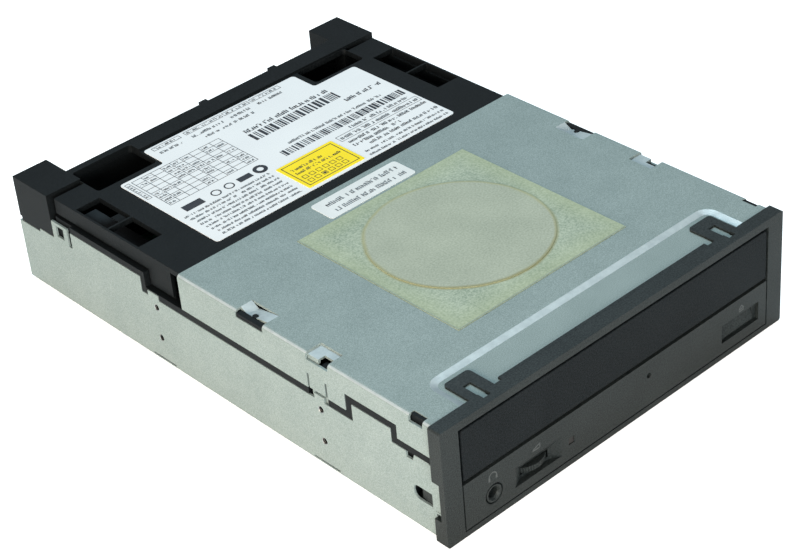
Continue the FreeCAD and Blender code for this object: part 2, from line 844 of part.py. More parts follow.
def top_cover():
    body = new_body("top_cover")
    front = back(d.bezel_depth)
    end = back(d.cover_end_at)
    low = d.spring_tab_low_z
    fold = d.bend - d.sheet
    add(body, "Y", front, end, polygon(
        (-half_body, low), (-half_body, d.roof_z, d.bend), (half_body, d.roof_z, d.bend),
        (half_body, low), (wall_inner, low), (wall_inner, roof_under, fold),
        (-wall_inner, roof_under, fold), (-wall_inner, low)))
    edge = seam_line(shell_edge)[:4]
    tab_front = back(d.spring_tab_front_at)
    tab_back = back(d.spring_tab_back_at)
    cut(body, "X", -half_body - beyond, half_body + beyond, polygon(
        (front - beyond, edge[0][1]), *edge, (tab_front, edge[-1][1]), (tab_front, d.slit_top_z),
        (tab_front + d.slit, d.slit_top_z), (tab_front + d.slit, low + d.slit),
        (tab_back - d.slit, low + d.slit), (tab_back - d.slit, d.slit_top_z),
        (tab_back, d.slit_top_z), (tab_back, edge[-1][1]), (end + beyond, edge[-1][1]),
        (end + beyond, low - beyond), (front - beyond, low - beyond)))
    bent = wall_inner - d.seam_gap / 2
    joggle = d.seam_low_z + shell_edge
    for side in (-1, 1):
        cut(body, "Y", tab_front + d.slit / 2, tab_back - d.slit / 2, polygon(
            (side * wall_inner - side * d.sheet / 4, joggle), (side * (half_body + beyond), joggle + d.sheet),
            (side * (half_body + beyond), low - beyond), (side * (wall_inner - d.sheet / 4), low - beyond)))
        add(body, "Y", tab_front + d.slit, tab_back - d.slit, polygon(
            (side * half_body, joggle + d.sheet * 2), (side * half_body, joggle + d.sheet),
            (side * bent, joggle - d.sheet), (side * bent, low), (side * (bent - d.sheet), low),
            (side * (bent - d.sheet), joggle - d.sheet / 2), (side * wall_inner, joggle + d.sheet * 2)))
    step = d.cover_step_run
    flat_back = back(d.cover_step_at) - step
    sunk = rect(-d.cover_step_x + step, front - step, d.cover_step_x - step, flat_back, d.bend * 2)
    under = rect(
        -d.cover_step_x, front, d.cover_step_x, back(d.cover_step_at) - d.sheet / 2, d.bend / 4)
    add(body, "Z", roof_under - d.cover_step_drop, roof_under, under)
    dish = cut(body, "Z", d.roof_z - d.cover_step_drop, d.roof_z, sunk)
    bind(dish, "TaperAngle", arctangent(step / d.cover_step_drop))
    ring_at = back(d.disc_at)
    add(body, "Z", d.roof_z, d.roof_z + d.ring_lift, circle(0, ring_at, d.ring_radius))
    cut(body, "Z", roof_under, roof_under + d.ring_lift, circle(0, ring_at, d.ring_radius - d.sheet))
    notches = (
        (d.notch_a_front_at, d.notch_a_back_at, d.notch_a_x),
        (d.notch_b_front_at, d.notch_b_back_at, d.notch_b_x),
        (d.notch_c_front_at, d.notch_c_back_at, d.notch_c_x),
    )
    for notch_front, notch_back, reach in notches:
        cut(body, "Z", d.roof_z - d.notch_depth, d.roof_z + beyond, both_sides(
            reach, half_body + beyond, back(notch_front), back(notch_back)))
    add(body, "Z", roof_under - d.cover_step_drop, d.roof_z - d.cover_step_drop, both_sides(
        d.latch_slot_inner_x + d.rest_gap, d.latch_slot_outer_x - d.rest_gap,
        back(d.latch_slot_front_at) + d.rest_gap, front))
    pressed_tongues(body)
    inner_tabs(body)
    return body


def pressed_tongues(body):
    """A tongue lanced out of the roof beside each first notch: a short ramp down, then a long rise."""
    low = back(d.notch_a_front_at)
    high = back(d.notch_a_back_at)
    foot = high - d.notch_tab_ramp
    profile = polygon(
        (high + d.sheet, roof_under), (high, d.roof_z), (foot, d.roof_z - d.notch_tab_drop),
        (low, d.roof_z), (low, roof_under), (foot - d.sheet / 2, roof_under - d.notch_tab_drop))
    inner = d.notch_a_x + d.rest_gap
    outer = d.notch_a_x + d.notch_tab_lip
    add(body, "X", inner, outer, profile)
    add(body, "X", -outer, -inner, profile)
    pin_hole = circle(d.notch_pin_x, back(d.notch_pin_at), d.notch_pin + d.rest_gap)
    cut(body, "Z", roof_under - d.notch_tab_drop - d.sheet, d.roof_z, pin_hole, mirrored(pin_hole))


def inner_tabs(body):
    """A lapped inner tab that lines the rear of each second notch and turns down inside the wall."""
    tab_front = back(d.inner_tab_at)
    tab_back = back(d.notch_b_back_at)
    lap_x = d.notch_b_x - d.inner_tab_lap
    plan = polygon(
        (lap_x, back(d.notch_b_front_at) + d.slit), (d.inner_tab_x, back(d.notch_b_front_at) + d.slit),
        (d.inner_tab_x, tab_front), (wall_inner, tab_front), (wall_inner, tab_back + d.inner_tab_lap),
        (lap_x, tab_back + d.inner_tab_lap))
    add(body, "Z", roof_under - d.sheet, roof_under, plan, mirrored(plan))
    flange = rect(tab_front, d.roof_z - d.notch_depth + d.rest_gap / 2, tab_back - d.rest_gap, roof_under)
    add(body, "X", wall_inner - d.sheet, wall_inner, flange)
    add(body, "X", -wall_inner, d.sheet - wall_inner, flange)


def rear_cover():
    body = new_body("rear_cover")
    front = back(d.cover_end_at) + d.rest_gap
    end = back(d.deck_end_at)
    rim_front = back(d.rim_front_at)
    rim_back = back(d.rim_back_at)
    deck_under = d.deck_z - d.deck_wall
    add(body, "Z", deck_under, d.deck_z, polygon(
        (-d.deck_x, front), (d.deck_x, front), (d.deck_x, end), (d.post_x, end),
        (d.post_x, rim_back), (-d.post_x, rim_back), (-d.post_x, end), (-d.deck_x, end)))
    add(body, "Z", deck_under, d.rim_z, rect(-d.post_x, rim_front, d.post_x, rim_back))
    add(body, "Y", rim_back - d.rear_wall, rim_back - d.groove, rect(
        -d.post_x, d.rear_wall_z, d.post_x, d.rim_z))
    ledge = seam_line(d.seam_rib / 2)[4:]
    skin = seam_line(d.seam_rib / 2 + d.deck_groove)[4:]
    inner = d.deck_x - d.deck_lip
    middle = d.deck_x - d.deck_skin
    for near, far, edge in ((inner, middle, ledge), (middle, d.deck_x, skin)):
        outline = polygon((front, edge[0][1]), *edge, (end, edge[-1][1]), (end, d.deck_z), (front, d.deck_z))
        add(body, "X", near, far, outline)
        add(body, "X", -far, -near, outline)
    slot = rect(back(d.slot_front_at), d.seam_low_z, back(d.slot_back_at), d.slot_top_z)
    cut(body, "X", d.deck_x - d.deck_lip - d.slit, d.deck_x + beyond, slot)
    cut(body, "X", -d.deck_x - beyond, d.deck_lip + d.slit - d.deck_x, slot)
    post_outer = half_body - d.rest_gap / 2
    post_end = back(d.post_end_at)
    foot = back(d.post_foot_at)
    heel = d.chassis_back_z + d.rest_gap
    toe = d.chassis_tail_z + d.rest_gap
    post = polygon(
        (rim_front, heel), (foot, heel), (foot, toe), (post_end - d.slit, toe),
        (post_end - d.slit, toe + d.nub), (post_end, toe + d.nub), (post_end, d.rim_z), (rim_front, d.rim_z))
    for side in (-1, 1):
        low, high = sorted((side * d.post_x, side * post_outer), key=lambda size: size.value)
        add(body, "X", low, high, post)
    hollow = both_sides(
        d.post_x + d.post_wall, post_outer - d.post_wall, rim_front + d.post_wall, post_end - d.post_wall)
    cut(body, "Z", toe - beyond, d.rim_z - d.post_wall, hollow)
    for nub_x in (d.nub_one_x, d.nub_two_x):
        add(body, "Z", deck_under, d.rim_z, rect(
            nub_x - d.nub, rim_back, nub_x + d.nub, rim_back + d.nub))
    web = back(d.window_web_at)
    corner = d.bend
    small = both_sides(d.window_inner_x, d.window_outer_x - d.deck_lip / 2,
                       web + d.window_web / 2, back(d.window_back_at))
    small += both_sides(d.window_inner_x, d.window_outer_x - d.deck_lip / 2,
                        back(d.window_front_at), web - d.window_web / 2)
    large = rect(-d.left_window_outer_x, back(d.left_window_front_at),
                 -d.left_window_inner_x, back(d.left_window_back_at), corner)
    large += rect(d.right_window_inner_x, back(d.right_window_front_at),
                  d.right_window_outer_x - corner, back(d.right_window_back_at), corner)
    cut(body, "Z", deck_under - d.slit, d.rim_z + beyond, small + large)
    return body


def front_bezel():
    body = new_body("front_bezel")
    half = d.bezel_width / 2
    front = back(0)
    skirt_back = back(d.bezel_depth)
    add(body, "Y", front, skirt_back, rect(-half, 0, half, d.bezel_height, d.sheet))
    cut(body, "Y", front + d.bezel_face, skirt_back + beyond, rect(
        d.bezel_skirt - half, d.bezel_skirt / 2, half - d.bezel_skirt, d.bezel_height - d.bezel_skirt))
    cut(body, "Y", front - beyond, skirt_back + beyond, rect(
        -d.opening_x, d.opening_low_z, d.opening_x, d.opening_high_z))
    cut(body, "Y", front, front + d.groove, polygon(
        (-d.groove_x, d.opening_low_z), (-d.groove_x, d.groove_z - d.groove),
        (d.groove_x, d.groove_z - d.groove), (d.groove_x, d.opening_low_z),
        (d.groove_x - d.groove, d.opening_low_z), (d.groove_x - d.groove, d.groove_z),
        (d.groove - d.groove_x, d.groove_z), (d.groove - d.groove_x, d.opening_low_z)))
    lamp_half = d.lamp_size / 2
    holes = circle(d.jack_x, d.jack_z, d.jack_nose + d.slide_gap)
    holes += circle(d.pinhole_x, d.pinhole_z, d.pinhole)
    holes += rect(d.lamp_x - lamp_half, d.lamp_z - lamp_half, d.lamp_x + lamp_half, d.lamp_z + lamp_half)
    holes += rect(d.button_left_x - d.slide_gap, d.button_low_z - d.slide_gap,
                  d.button_right_x + d.slide_gap, d.button_high_z + d.slide_gap)
    cut(body, "Y", front - beyond, skirt_back + beyond, holes)
    cut(body, "Y", front, front + d.eject_ledge, rect(
        d.eject_left_x, d.eject_low_z, d.eject_right_x, d.eject_high_z))
    cut(body, "Y", front, front + d.sheet, circle(d.jack_x, d.jack_z, d.jack_nose + d.jack_ring))
    dial_recess(body, front)
    tab_low = d.roof_z - d.cover_step_drop
    tab = polygon(
        (d.latch_inner_x, skirt_back - beyond), (d.latch_outer_x, skirt_back - beyond),
        (d.latch_outer_x, back(d.latch_end_at), d.bend), (d.latch_inner_x, back(d.latch_end_at), d.bend))
    lip = rect(-d.lip_x, skirt_back - beyond, d.lip_x, back(d.lip_end_at))
    add(body, "Z", tab_low, d.latch_z, tab, mirrored(tab))
    add(body, "Z", tab_low, d.roof_z, lip)
    cut(body, "Z", d.bezel_height - d.bezel_skirt - beyond, d.bezel_height + beyond, both_sides(
        d.latch_slot_inner_x, d.latch_slot_outer_x,
        back(d.latch_slot_front_at), back(d.latch_slot_back_at)))
    notch = rect(back(d.nose_tab_at) - d.slide_gap, d.nose_tab_low_z - d.slide_gap - d.sheet,
                 skirt_back + beyond, d.nose_tab_high_z + d.slide_gap)
    cut(body, "X", half - d.bezel_skirt - beyond, half + beyond, notch)
    cut(body, "X", -half - beyond, d.bezel_skirt + beyond - half, notch)
    side_hooks(body, front, skirt_back)
    return body


def dial_recess(body, front):
    """The scooped recess for the volume dial: a loft from its wide mouth to its narrow back."""
    mouth = polygon(
        (d.dial_left_x - d.slit, d.dial_low_z), (d.dial_right_x + d.slit, d.dial_low_z),
        (d.dial_right_x + d.slit, d.dial_high_z + d.slit), (d.dial_left_x - d.slit, d.dial_high_z + d.slit))
    throat = polygon(
        (d.dial_x - d.dial_slot, d.dial_low_z), (d.dial_x + d.dial_slot, d.dial_low_z),
        (d.dial_x + d.dial_slot, d.dial_slot_high_z), (d.dial_x - d.dial_slot, d.dial_slot_high_z))
    funnel(body, front - d.slit, mouth, front + d.dial_recess, throat)
    cut(body, "Y", front, front + d.bezel_depth, rect(
        d.dial_x - d.dial_slot, d.dial_slot_low_z, d.dial_x + d.dial_slot, d.dial_slot_high_z))


def side_hooks(body, front, skirt_back):
    """A spring arm each side, with a nose that snaps into the chassis."""
    low = d.hook_hole_z - d.hook_hole_height / 2 + d.slide_gap
    high = d.hook_hole_z + d.hook_hole_height / 2 - d.slide_gap
    nose_front = back(d.hook_hole_front_at) + d.slide_gap
    nose_back = nose_front + d.hook_hole_height
    arm_outer = wall_inner - d.rest_gap
    arm_inner = arm_outer - d.bezel_skirt
    nose_x = wall_inner + d.sheet / 2
    root = front + d.nose_tab_at - d.sheet
    arm = polygon(
        (arm_inner, root), (arm_outer, root), (arm_outer, nose_front),
        (nose_x, nose_front), (arm_outer, nose_back), (arm_inner, nose_back))
    add(body, "Z", low, high, arm, mirrored(arm))


def tray_lid():
    body = new_body("tray_lid")
    low = d.opening_low_z + d.lid_drop
    high = d.opening_high_z - d.lid_gap
    reach = d.opening_x - d.lid_gap
    front = back(0)
    add(body, "Y", front, back(d.tray_front_at), polygon(
        (-reach, low), (reach, low), (reach, high, d.lid_corner), (-reach, high, d.lid_corner)))
    cut(body, "Y", front + d.lid_thick, back(d.tray_front_at) + beyond, rect(
        d.lid_corner - reach, low + d.lid_corner, reach - d.lid_corner, d.tray_low_z - d.lid_corner))
    cut(body, "Y", front + d.lid_thick, back(d.tray_front_at) + beyond, rect(
        d.lid_corner - reach, d.tray_rim_z + d.lid_corner, reach - d.lid_corner, high - d.lid_corner))
    return body


# Tray and loader

def tray():
    body = new_body("tray")
    front = back(d.tray_front_at)
    plate_end = back(d.tray_plate_at)
    end = back(d.tray_end_at)
    arm_inner = d.tray_x - d.tray_arm
    middle = back(d.disc_at)
    add(body, "Z", d.tray_low_z, d.tray_rim_z, polygon(
        (-d.tray_x, front), (d.tray_x, front), (d.tray_x, end), (arm_inner, end), (arm_inner, plate_end),
        (-arm_inner, plate_end), (-arm_inner, end), (-d.tray_x, end)))
    cut(body, "Z", d.tray_floor_z, d.tray_rim_z + beyond, circle(0, middle, d.disc_recess))
    cut(body, "Z", d.small_floor_z, d.tray_floor_z + beyond, circle(0, middle, d.small_recess))
    cut(body, "Z", d.tray_low_z - beyond, d.tray_rim_z + beyond, polygon(
        (-d.slot_radius, plate_end + beyond), (-d.slot_radius, middle - d.slot_radius, d.slot_radius),
        (d.slot_radius, middle - d.slot_radius, d.slot_radius), (d.slot_radius, plate_end + beyond)))
    finger = d.small_recess / 2
    finger_at = middle + d.disc_recess - finger / 2
    cut(body, "Z", d.tray_floor_z, d.tray_rim_z + beyond, both_sides(
        finger, finger + d.slot_radius, finger_at, finger_at + finger, d.bend * 2))
    add(body, "Z", d.runner_low_z, d.runner_high_z, both_sides(
        d.tray_x, d.runner_x, front + d.opening_low_z / 2, end))
    rack(body)
    return body


def rack(body):
    """The rack under the left edge of the tray, with its teeth facing the tray gear."""
    start = back(d.rack_front_at)
    root = d.rack_back - d.rack_x
    add(body, "Z", d.rack_low_z, d.tray_low_z, rect(-d.rack_x, start, root, back(d.rack_end_at)))
    pitch = math.pi * d.tooth
    tip = root + d.tooth * 1.8
    count = int((DIMENSIONS["rack_end_at"] - DIMENSIONS["rack_front_at"]) / (math.pi * DIMENSIONS["tooth"]))
    base = back(d.gear_line_at) - pitch * 3
    tooth = add(body, "Z", d.rack_low_z, d.tray_low_z, polygon(
        (root - d.rack_back / 2, base - pitch * 0.33), (root, base - pitch * 0.33),
        (tip, base - pitch * 0.13), (tip, base + pitch * 0.13), (root, base + pitch * 0.33),
        (root - d.rack_back / 2, base + pitch * 0.33)))
    row_copies(body, tooth, "V_Axis", pitch * (count - 1), count)


def gear_teeth(body, teeth, low, high):
    """Straight teeth on a rim, cut between low and high; the rim is already as wide as their tips."""
    radius = d.tooth * teeth / 2
    tip = radius + d.tooth * 0.9
    root = radius - d.tooth * 1.1
    half_tip = (math.pi * d.tooth * tip / radius - d.tooth * 0.7) / 2
    half_root = (math.pi * d.tooth * root / radius - d.tooth * 1.8) / 2
    half_mouth = half_tip + (half_tip - half_root) / 4
    mouth = tip + d.tooth / 2
    gap = cut(body, "Z", low, high, polygon(
        (-half_root, root), (half_root, root), (half_mouth, mouth), (-half_mouth, mouth)))
    round_copies(body, gap, teeth)


def tray_gear():
    body = new_body("tray_gear")
    tip = tray_gear_radius + d.tooth * 0.9
    bore = d.axle + d.bore_gap
    hub_low = d.plate_high_z + d.rest_gap
    turn(body, polygon((bore, hub_low), (d.gear_hub, hub_low), (d.gear_hub, d.gear_low_z),
                       (tip, d.gear_low_z), (tip, d.gear_high_z), (bore, d.gear_high_z)))
    gear_teeth(body, d.tray_gear_teeth, d.gear_low_z, d.gear_high_z)
    place(body, tray_gear_x, back(d.gear_line_at))
    return body


def pulley_profile(bore, rim, groove, low, high):
    """The half section of a grooved pulley."""
    lip = (high - low) / 4
    return polygon(
        (bore, low), (rim, low), (groove, low + lip), (groove, high - lip), (rim, high), (bore, high))


def pulley_gear():
    body = new_body("pulley_gear")
    bore = d.axle + d.bore_gap
    tip = pinion_radius + d.tooth * 0.9
    turn(body, pulley_profile(bore, d.pulley_rim, d.pulley_groove, d.pulley_low_z, d.pulley_high_z))
    turn(body, polygon((bore, d.pulley_high_z - d.sheet), (tip, d.pulley_high_z - d.sheet),
                       (tip, d.gear_high_z), (bore, d.gear_high_z)))
    gear_teeth(body, d.pinion_teeth, d.gear_low_z - d.rest_gap, d.gear_high_z)
    place(body, pulley_x, back(d.gear_line_at))
    return body


def motor_pulley():
    body = new_body("motor_pulley")
    turn(body, pulley_profile(0, d.motor_rim, d.motor_groove, d.pulley_low_z, d.pulley_high_z))
    add(body, "Z", d.plate_low_z - d.motor_rim, d.pulley_low_z, circle(0, 0, d.motor_shaft))
    place(body, d.motor_x, back(d.gear_line_at))
    return body


def loading_motor():
    body = new_body("loading_motor")
    bore = d.motor_shaft + d.bore_gap
    socket = d.plate_low_z - d.motor_rim - d.rest_gap
    turn(body, polygon(
        (0, d.motor_low_z), (d.motor_radius, d.motor_low_z, d.bend), (d.motor_radius, d.plate_low_z),
        (bore, d.plate_low_z), (bore, socket), (0, socket)))
    place(body, d.motor_x, back(d.gear_line_at))
    return body


def drive_belt():
    """A square rubber belt: its loop runs along the outer tangents of the two pulleys."""
    gap = DIMENSIONS["bore_gap"] * 2
    width = DIMENSIONS["belt"]
    big = DIMENSIONS["pulley_groove"] + gap
    small = DIMENSIONS["motor_groove"] + gap
    span = DIMENSIONS["motor_x"] - pulley_x.value
    middle_z = (DIMENSIONS["pulley_low_z"] + DIMENSIONS["pulley_high_z"]) / 2

    def loop(extra):
        lean = math.asin((big - small) / span)
        across = Vector(math.sin(lean), math.cos(lean), 0)
        across_back = Vector(across.x, -across.y, 0)
        far = Vector(span, 0, 0)
        edges = [
            Part.Arc(
                across * (big + extra), Vector(-big - extra, 0, 0), across_back * (big + extra)).toShape(),
            Part.makeLine(across_back * (big + extra), far + across_back * (small + extra)),
            Part.Arc(far + across_back * (small + extra), far + Vector(small + extra, 0, 0),
                     far + across * (small + extra)).toShape(),
            Part.makeLine(far + across * (small + extra), across * (big + extra)),
        ]
        return Part.Face(Part.Wire(edges))

    belt = document.addObject("Part::Feature", "drive_belt")
    ring = loop(width).cut(loop(0))
    belt.Shape = ring.extrude(Vector(0, 0, width))
    place(belt, pulley_x, back(d.gear_line_at), middle_z - d.belt / 2)
    subparts.append(belt)


def cam_slider():
    body = new_body("cam_slider")
    front = back(d.slider_front_at)
    end = back(d.slider_back_at)
    add(body, "Y", front, end, rect(
        d.slider_left_x, d.slider_low_z, d.slider_right_x, d.slider_high_z, d.bend))
    reach = d.cam_pin + d.slide_gap
    low = d.cam_pin_z - d.cam_drop
    run = d.slider_travel
    slots = []
    for pin_x in (-d.cam_pin_x, d.cam_pin_x):
        slots += polygon(
            (pin_x + reach, d.cam_pin_z + reach), (pin_x - reach, d.cam_pin_z + reach),
            (pin_x - run - reach * 1.6, low + reach * 0.4), (pin_x - run - reach * 1.6, low - reach),
            (pin_x - run + reach * 0.6, low - reach), (pin_x + reach, d.cam_pin_z - reach))
    cut(body, "Y", front - beyond, end + beyond, slots)
    return body


def main_frame():
    body = new_body("main_frame")
    front = back(d.bezel_depth) + d.slide_gap
    end = back(d.deck_end_at)
    cover_end = back(d.cover_end_at)
    top = d.frame_high_z
    edge = seam_line(d.seam_rib / 2)[4:]
    wall = polygon(
        (front, d.frame_low_z), (end, d.frame_low_z), (end, edge[-1][1]),
        (edge[1][0], edge[1][1]), (edge[0][0], edge[0][1]), (cover_end - d.slit, edge[0][1]),
        (cover_end - d.slit, top), (front, top))
    for low, high in ((frame_inner, frame_outer), (-frame_outer, -frame_inner)):
        add(body, "X", low, high, wall)
    add(body, "Z", d.plate_low_z, d.plate_high_z, rect(
        -frame_inner, back(d.plate_front_at), frame_inner, back(d.apron_back_at)))
    add(body, "Y", back(d.apron_front_at), back(d.apron_back_at), rect(
        -d.apron_x, d.frame_low_z, d.apron_x, d.plate_low_z))
    add(body, "Z", d.frame_low_z, d.shelf_high_z, rect(
        -d.apron_x, back(d.apron_back_at), d.apron_x, back(d.slider_back_at)))
    guides = []
    for low, high in (
            (d.guide_low_z, d.runner_low_z - d.slide_gap), (d.runner_high_z + d.slide_gap, d.guide_high_z)):
        guides += both_sides(d.guide_x, frame_inner, low, high)
    add(body, "Y", front, end - d.rear_wall, guides)
    add(body, "Y", back(d.bar_front_at), back(d.bar_back_at), rect(
        -frame_inner, d.bar_low_z, frame_inner, d.bar_high_z))
    pivot_inner = d.lifter_x + d.slide_gap
    pivot = both_sides(pivot_inner, pivot_inner + d.hinge_pin * 2.2,
                       back(d.hinge_at) - d.hinge_pin * 2, back(d.bar_front_at))
    add(body, "Z", d.bar_low_z, d.hinge_z + d.hinge_pin * 2, pivot)
    bosses = []
    for station in (d.boss_front_at, d.boss_back_at):
        bosses += both_sides(d.boss_inner_x, frame_inner,
                             back(station) - d.boss_size / 2, back(station) + d.boss_size / 2)
    add(body, "Z", floor_top, d.boss_high_z, bosses)
    bridge_seats = both_sides(d.bridge_boss_x, frame_inner,
                              back(d.disc_at) - d.bridge_boss / 2, back(d.disc_at) + d.bridge_boss / 2)
    add(body, "Z", d.guide_high_z - d.sheet, d.bridge_low_z, bridge_seats)
    axles = circle(tray_gear_x, back(d.gear_line_at), d.axle) + circle(pulley_x, back(d.gear_line_at), d.axle)
    add(body, "Z", d.plate_high_z - d.sheet, d.gear_high_z, axles)
    shelf_high = roof_under - d.notch_tab_drop - d.rest_gap
    for notch_front, notch_back in (
            (d.notch_a_front_at, d.notch_a_back_at), (d.notch_b_front_at, d.notch_b_back_at)):
        cut(body, "Z", shelf_high, top + beyond, both_sides(
            frame_inner - beyond, frame_outer + beyond, back(notch_front), back(notch_back) + d.bend))
    rail = rect(d.notch_a_x + d.notch_tab_lip + d.rest_gap, back(d.notch_a_front_at) + d.rest_gap,
                half_body - d.rest_gap, back(d.notch_a_back_at) - d.rest_gap)
    add(body, "Z", d.roof_z - d.notch_depth + d.rest_gap, roof_under - d.rest_gap, rail, mirrored(rail))
    rail_foot = rect(d.notch_a_x + d.notch_tab_lip + d.rest_gap, back(d.notch_a_front_at) + d.rest_gap,
                     frame_outer, back(d.notch_a_back_at) - d.rest_gap)
    add(body, "Z", shelf_high - d.sheet, roof_under - d.notch_tab_drop, rail_foot, mirrored(rail_foot))
    pin = circle(d.notch_pin_x, back(d.notch_pin_at), d.notch_pin)
    add(body, "Z", shelf_high - d.sheet, roof_under, pin, mirrored(pin))
    catch = rect(d.notch_c_x + d.rest_gap, back(d.notch_c_front_at) + d.rest_gap,
                 frame_outer, back(d.notch_c_back_at) - d.rest_gap)
    add(body, "Z", top - d.sheet, d.roof_z - d.rest_gap, catch, mirrored(catch))
    rib_outer = half_body - d.rest_gap / 2
    upper = seam_line(d.seam_rib / 2)
    lower = seam_line(-d.seam_rib / 2)
    rib_end = back(d.seam_end_at) - d.slide_gap
    rib = polygon(
        (front, upper[0][1]), *upper, (rib_end, upper[-1][1]), (rib_end, lower[-1][1]),
        *reversed(lower), (front, lower[0][1]))
    add(body, "X", frame_outer - d.slit, rib_outer, rib)
    add(body, "X", -rib_outer, d.slit - frame_outer, rib)
    tab_pocket = rect(
        back(d.spring_tab_front_at), d.spring_tab_low_z - d.slit,
        back(d.spring_tab_back_at), d.slit_top_z)
    pocket_inner = wall_inner - d.seam_gap / 2 - d.sheet - d.rest_gap
    cut(body, "X", pocket_inner, rib_outer + beyond, tab_pocket)
    cut(body, "X", -rib_outer - beyond, -pocket_inner, tab_pocket)
    rear_pocket = rect(
        back(d.rear_tab_front_at) - d.slide_gap, d.seam_low_z - d.seam_rib,
        back(d.rear_tab_back_at) + d.slide_gap, bridge_top + d.slide_gap)
    cut(body, "X", frame_outer, rib_outer + beyond, rear_pocket)
    cut(body, "X", -rib_outer - beyond, -frame_outer, rear_pocket)
    hook_space = rect(
        front - beyond, d.hook_hole_z - d.hook_hole_height / 2 - d.slide_gap,
        back(d.hook_hole_back_at) + d.slide_gap, d.hook_hole_z + d.hook_hole_height / 2 + d.slide_gap)
    for low, high in (
            (frame_inner - d.sheet, frame_outer + beyond), (-frame_outer - beyond, d.sheet - frame_inner)):
        cut(body, "X", low, high, hook_space)
    for low, high in (
            (frame_inner - beyond, frame_outer + beyond), (-frame_outer - beyond, beyond - frame_inner)):
        holes = []
        for row in mount_rows:
            holes += circle(row, d.mount_low_z, d.axle)
            holes += circle(row, d.mount_low_z + d.mount_rise, d.axle)
        cut(body, "X", low, high, holes)
    bottom_holes = []
    screw_holes = []
    for side in (-1, 1):
        for row in mount_rows:
            bottom_holes += circle(side * d.mount_bottom_x, row, d.axle)
        for station in (d.boss_front_at, d.boss_back_at):
            screw_holes += circle(side * boss_x, back(station), d.mount_hole)
    cut(body, "Z", d.frame_low_z - beyond, d.mount_low_z - d.axle * 2, bottom_holes)
    cut(body, "Z", floor_top, d.boss_high_z - d.sheet, screw_holes)
    cut(body, "Z", d.bridge_low_z - d.boss_size, d.bridge_low_z, circle(bridge_screw_x, back(d.disc_at), d.mount_hole)
        + circle(-bridge_screw_x, back(d.disc_at), d.mount_hole))
    cut(body, "Z", d.bridge_low_z, top + beyond, both_sides(
        frame_inner - beyond, frame_outer + beyond, back(d.bridge_front_at) - d.slide_gap,
        back(d.notch_a_front_at) + d.rest_gap))
    cut(body, "Z", d.plate_low_z - d.slit, d.plate_high_z + d.slit, circle(
        d.motor_x, back(d.gear_line_at), d.motor_shaft * 2))
    cut(body, "Y", front, back(d.apron_back_at) + d.slit, circle(
        d.pinhole_x, d.pinhole_z, d.pinhole + d.slide_gap))
    for low, high in ((pivot_inner - d.slit, pivot_inner + d.hinge_pin * 2.2 + d.slit),
                      (-pivot_inner - d.hinge_pin * 2.2 - d.slit, d.slit - pivot_inner)):
        cut(body, "X", low, high, circle(back(d.hinge_at), d.hinge_z, d.hinge_pin + d.bore_gap))
    return body


bridge_screw_x = (d.bridge_boss_x + frame_inner) / 2


# Clamp

def clamp_bridge():
    body = new_body("clamp_bridge")
    top = d.bridge_low_z + d.bridge_sheet
    middle = back(d.disc_at)
    front = back(d.bridge_front_at)
    end = back(d.bridge_back_at)
    seat = d.bridge_boss / 2
    add(body, "Z", d.bridge_low_z, top, polygon(
        (-frame_inner + d.slide_gap, middle - seat), (-d.tray_x, middle - seat), (-d.tray_x, front),
        (d.tray_x, front), (d.tray_x, middle - seat), (frame_inner - d.slide_gap, middle - seat),
        (frame_inner - d.slide_gap, middle + seat), (d.tray_x, middle + seat), (d.tray_x, end),
        (-d.tray_x, end), (-d.tray_x, middle + seat), (d.slide_gap - frame_inner, middle + seat)))
    ribs = []
    for edge in (front, end - d.bridge_sheet):
        ribs += rect(-d.tray_x, edge, d.tray_x, edge + d.bridge_sheet)
    add(body, "Z", top, top + d.bridge_sheet, ribs)
    holes = circle(0, middle, d.clamper_neck + d.sheet)
    for side in (-1, 1):
        holes += circle(side * bridge_screw_x, middle, d.axle)
        holes += rect(side * d.slot_radius * 1.3 - d.slot_radius / 4, front + d.bridge_boss / 2,
                      side * d.slot_radius * 1.3 + d.slot_radius / 4, end - d.bridge_boss / 2, d.bend)
        holes += rect(side * d.slot_radius * 2.4 - d.slot_radius / 4, front + d.bridge_boss / 2,
                      side * d.slot_radius * 2.4 + d.slot_radius / 4, end - d.bridge_boss / 2, d.bend)
    cut(body, "Z", d.bridge_low_z - beyond, top + beyond, holes)
    return body


def screws(name, spots, head_low, head_radius, length, down=True):
    """Cross-head screws of one kind: a domed head, a shank and a recess in each."""
    body = new_body(name, several=True)
    reach = -length if down else length
    head = d.bridge_sheet if down else -d.bridge_sheet
    heads = []
    shanks = []
    recesses = []
    for x, y in spots:
        heads += circle(x, y, head_radius)
        shanks += circle(x, y, d.mount_hole - d.bore_gap)
        recesses += rect(x - head_radius / 2, y - d.groove / 2, x + head_radius / 2, y + d.groove / 2)
    if down:
        add(body, "Z", head_low, head_low + head, heads)
        add(body, "Z", head_low + reach, head_low, shanks)
        cut(body, "Z", head_low + head - d.groove, head_low + head + beyond, recesses)
    else:
        add(body, "Z", head_low + head, head_low, heads)
        add(body, "Z", head_low, head_low + reach, shanks)
    return body


def bridge_screws():
    spots = [(-bridge_screw_x, back(d.disc_at)), (bridge_screw_x, back(d.disc_at))]
    screws("bridge_screws", spots, d.bridge_low_z + d.bridge_sheet, d.axle * 1.6, d.boss_size)


def board_screws():
    spots = [(side * d.stud_x, back(at)) for side in (-1, 1) for at in (d.stud_front_at, d.stud_back_at)]
    screws("board_screws", spots, board_top, d.axle * 1.6, board_top - floor_top)


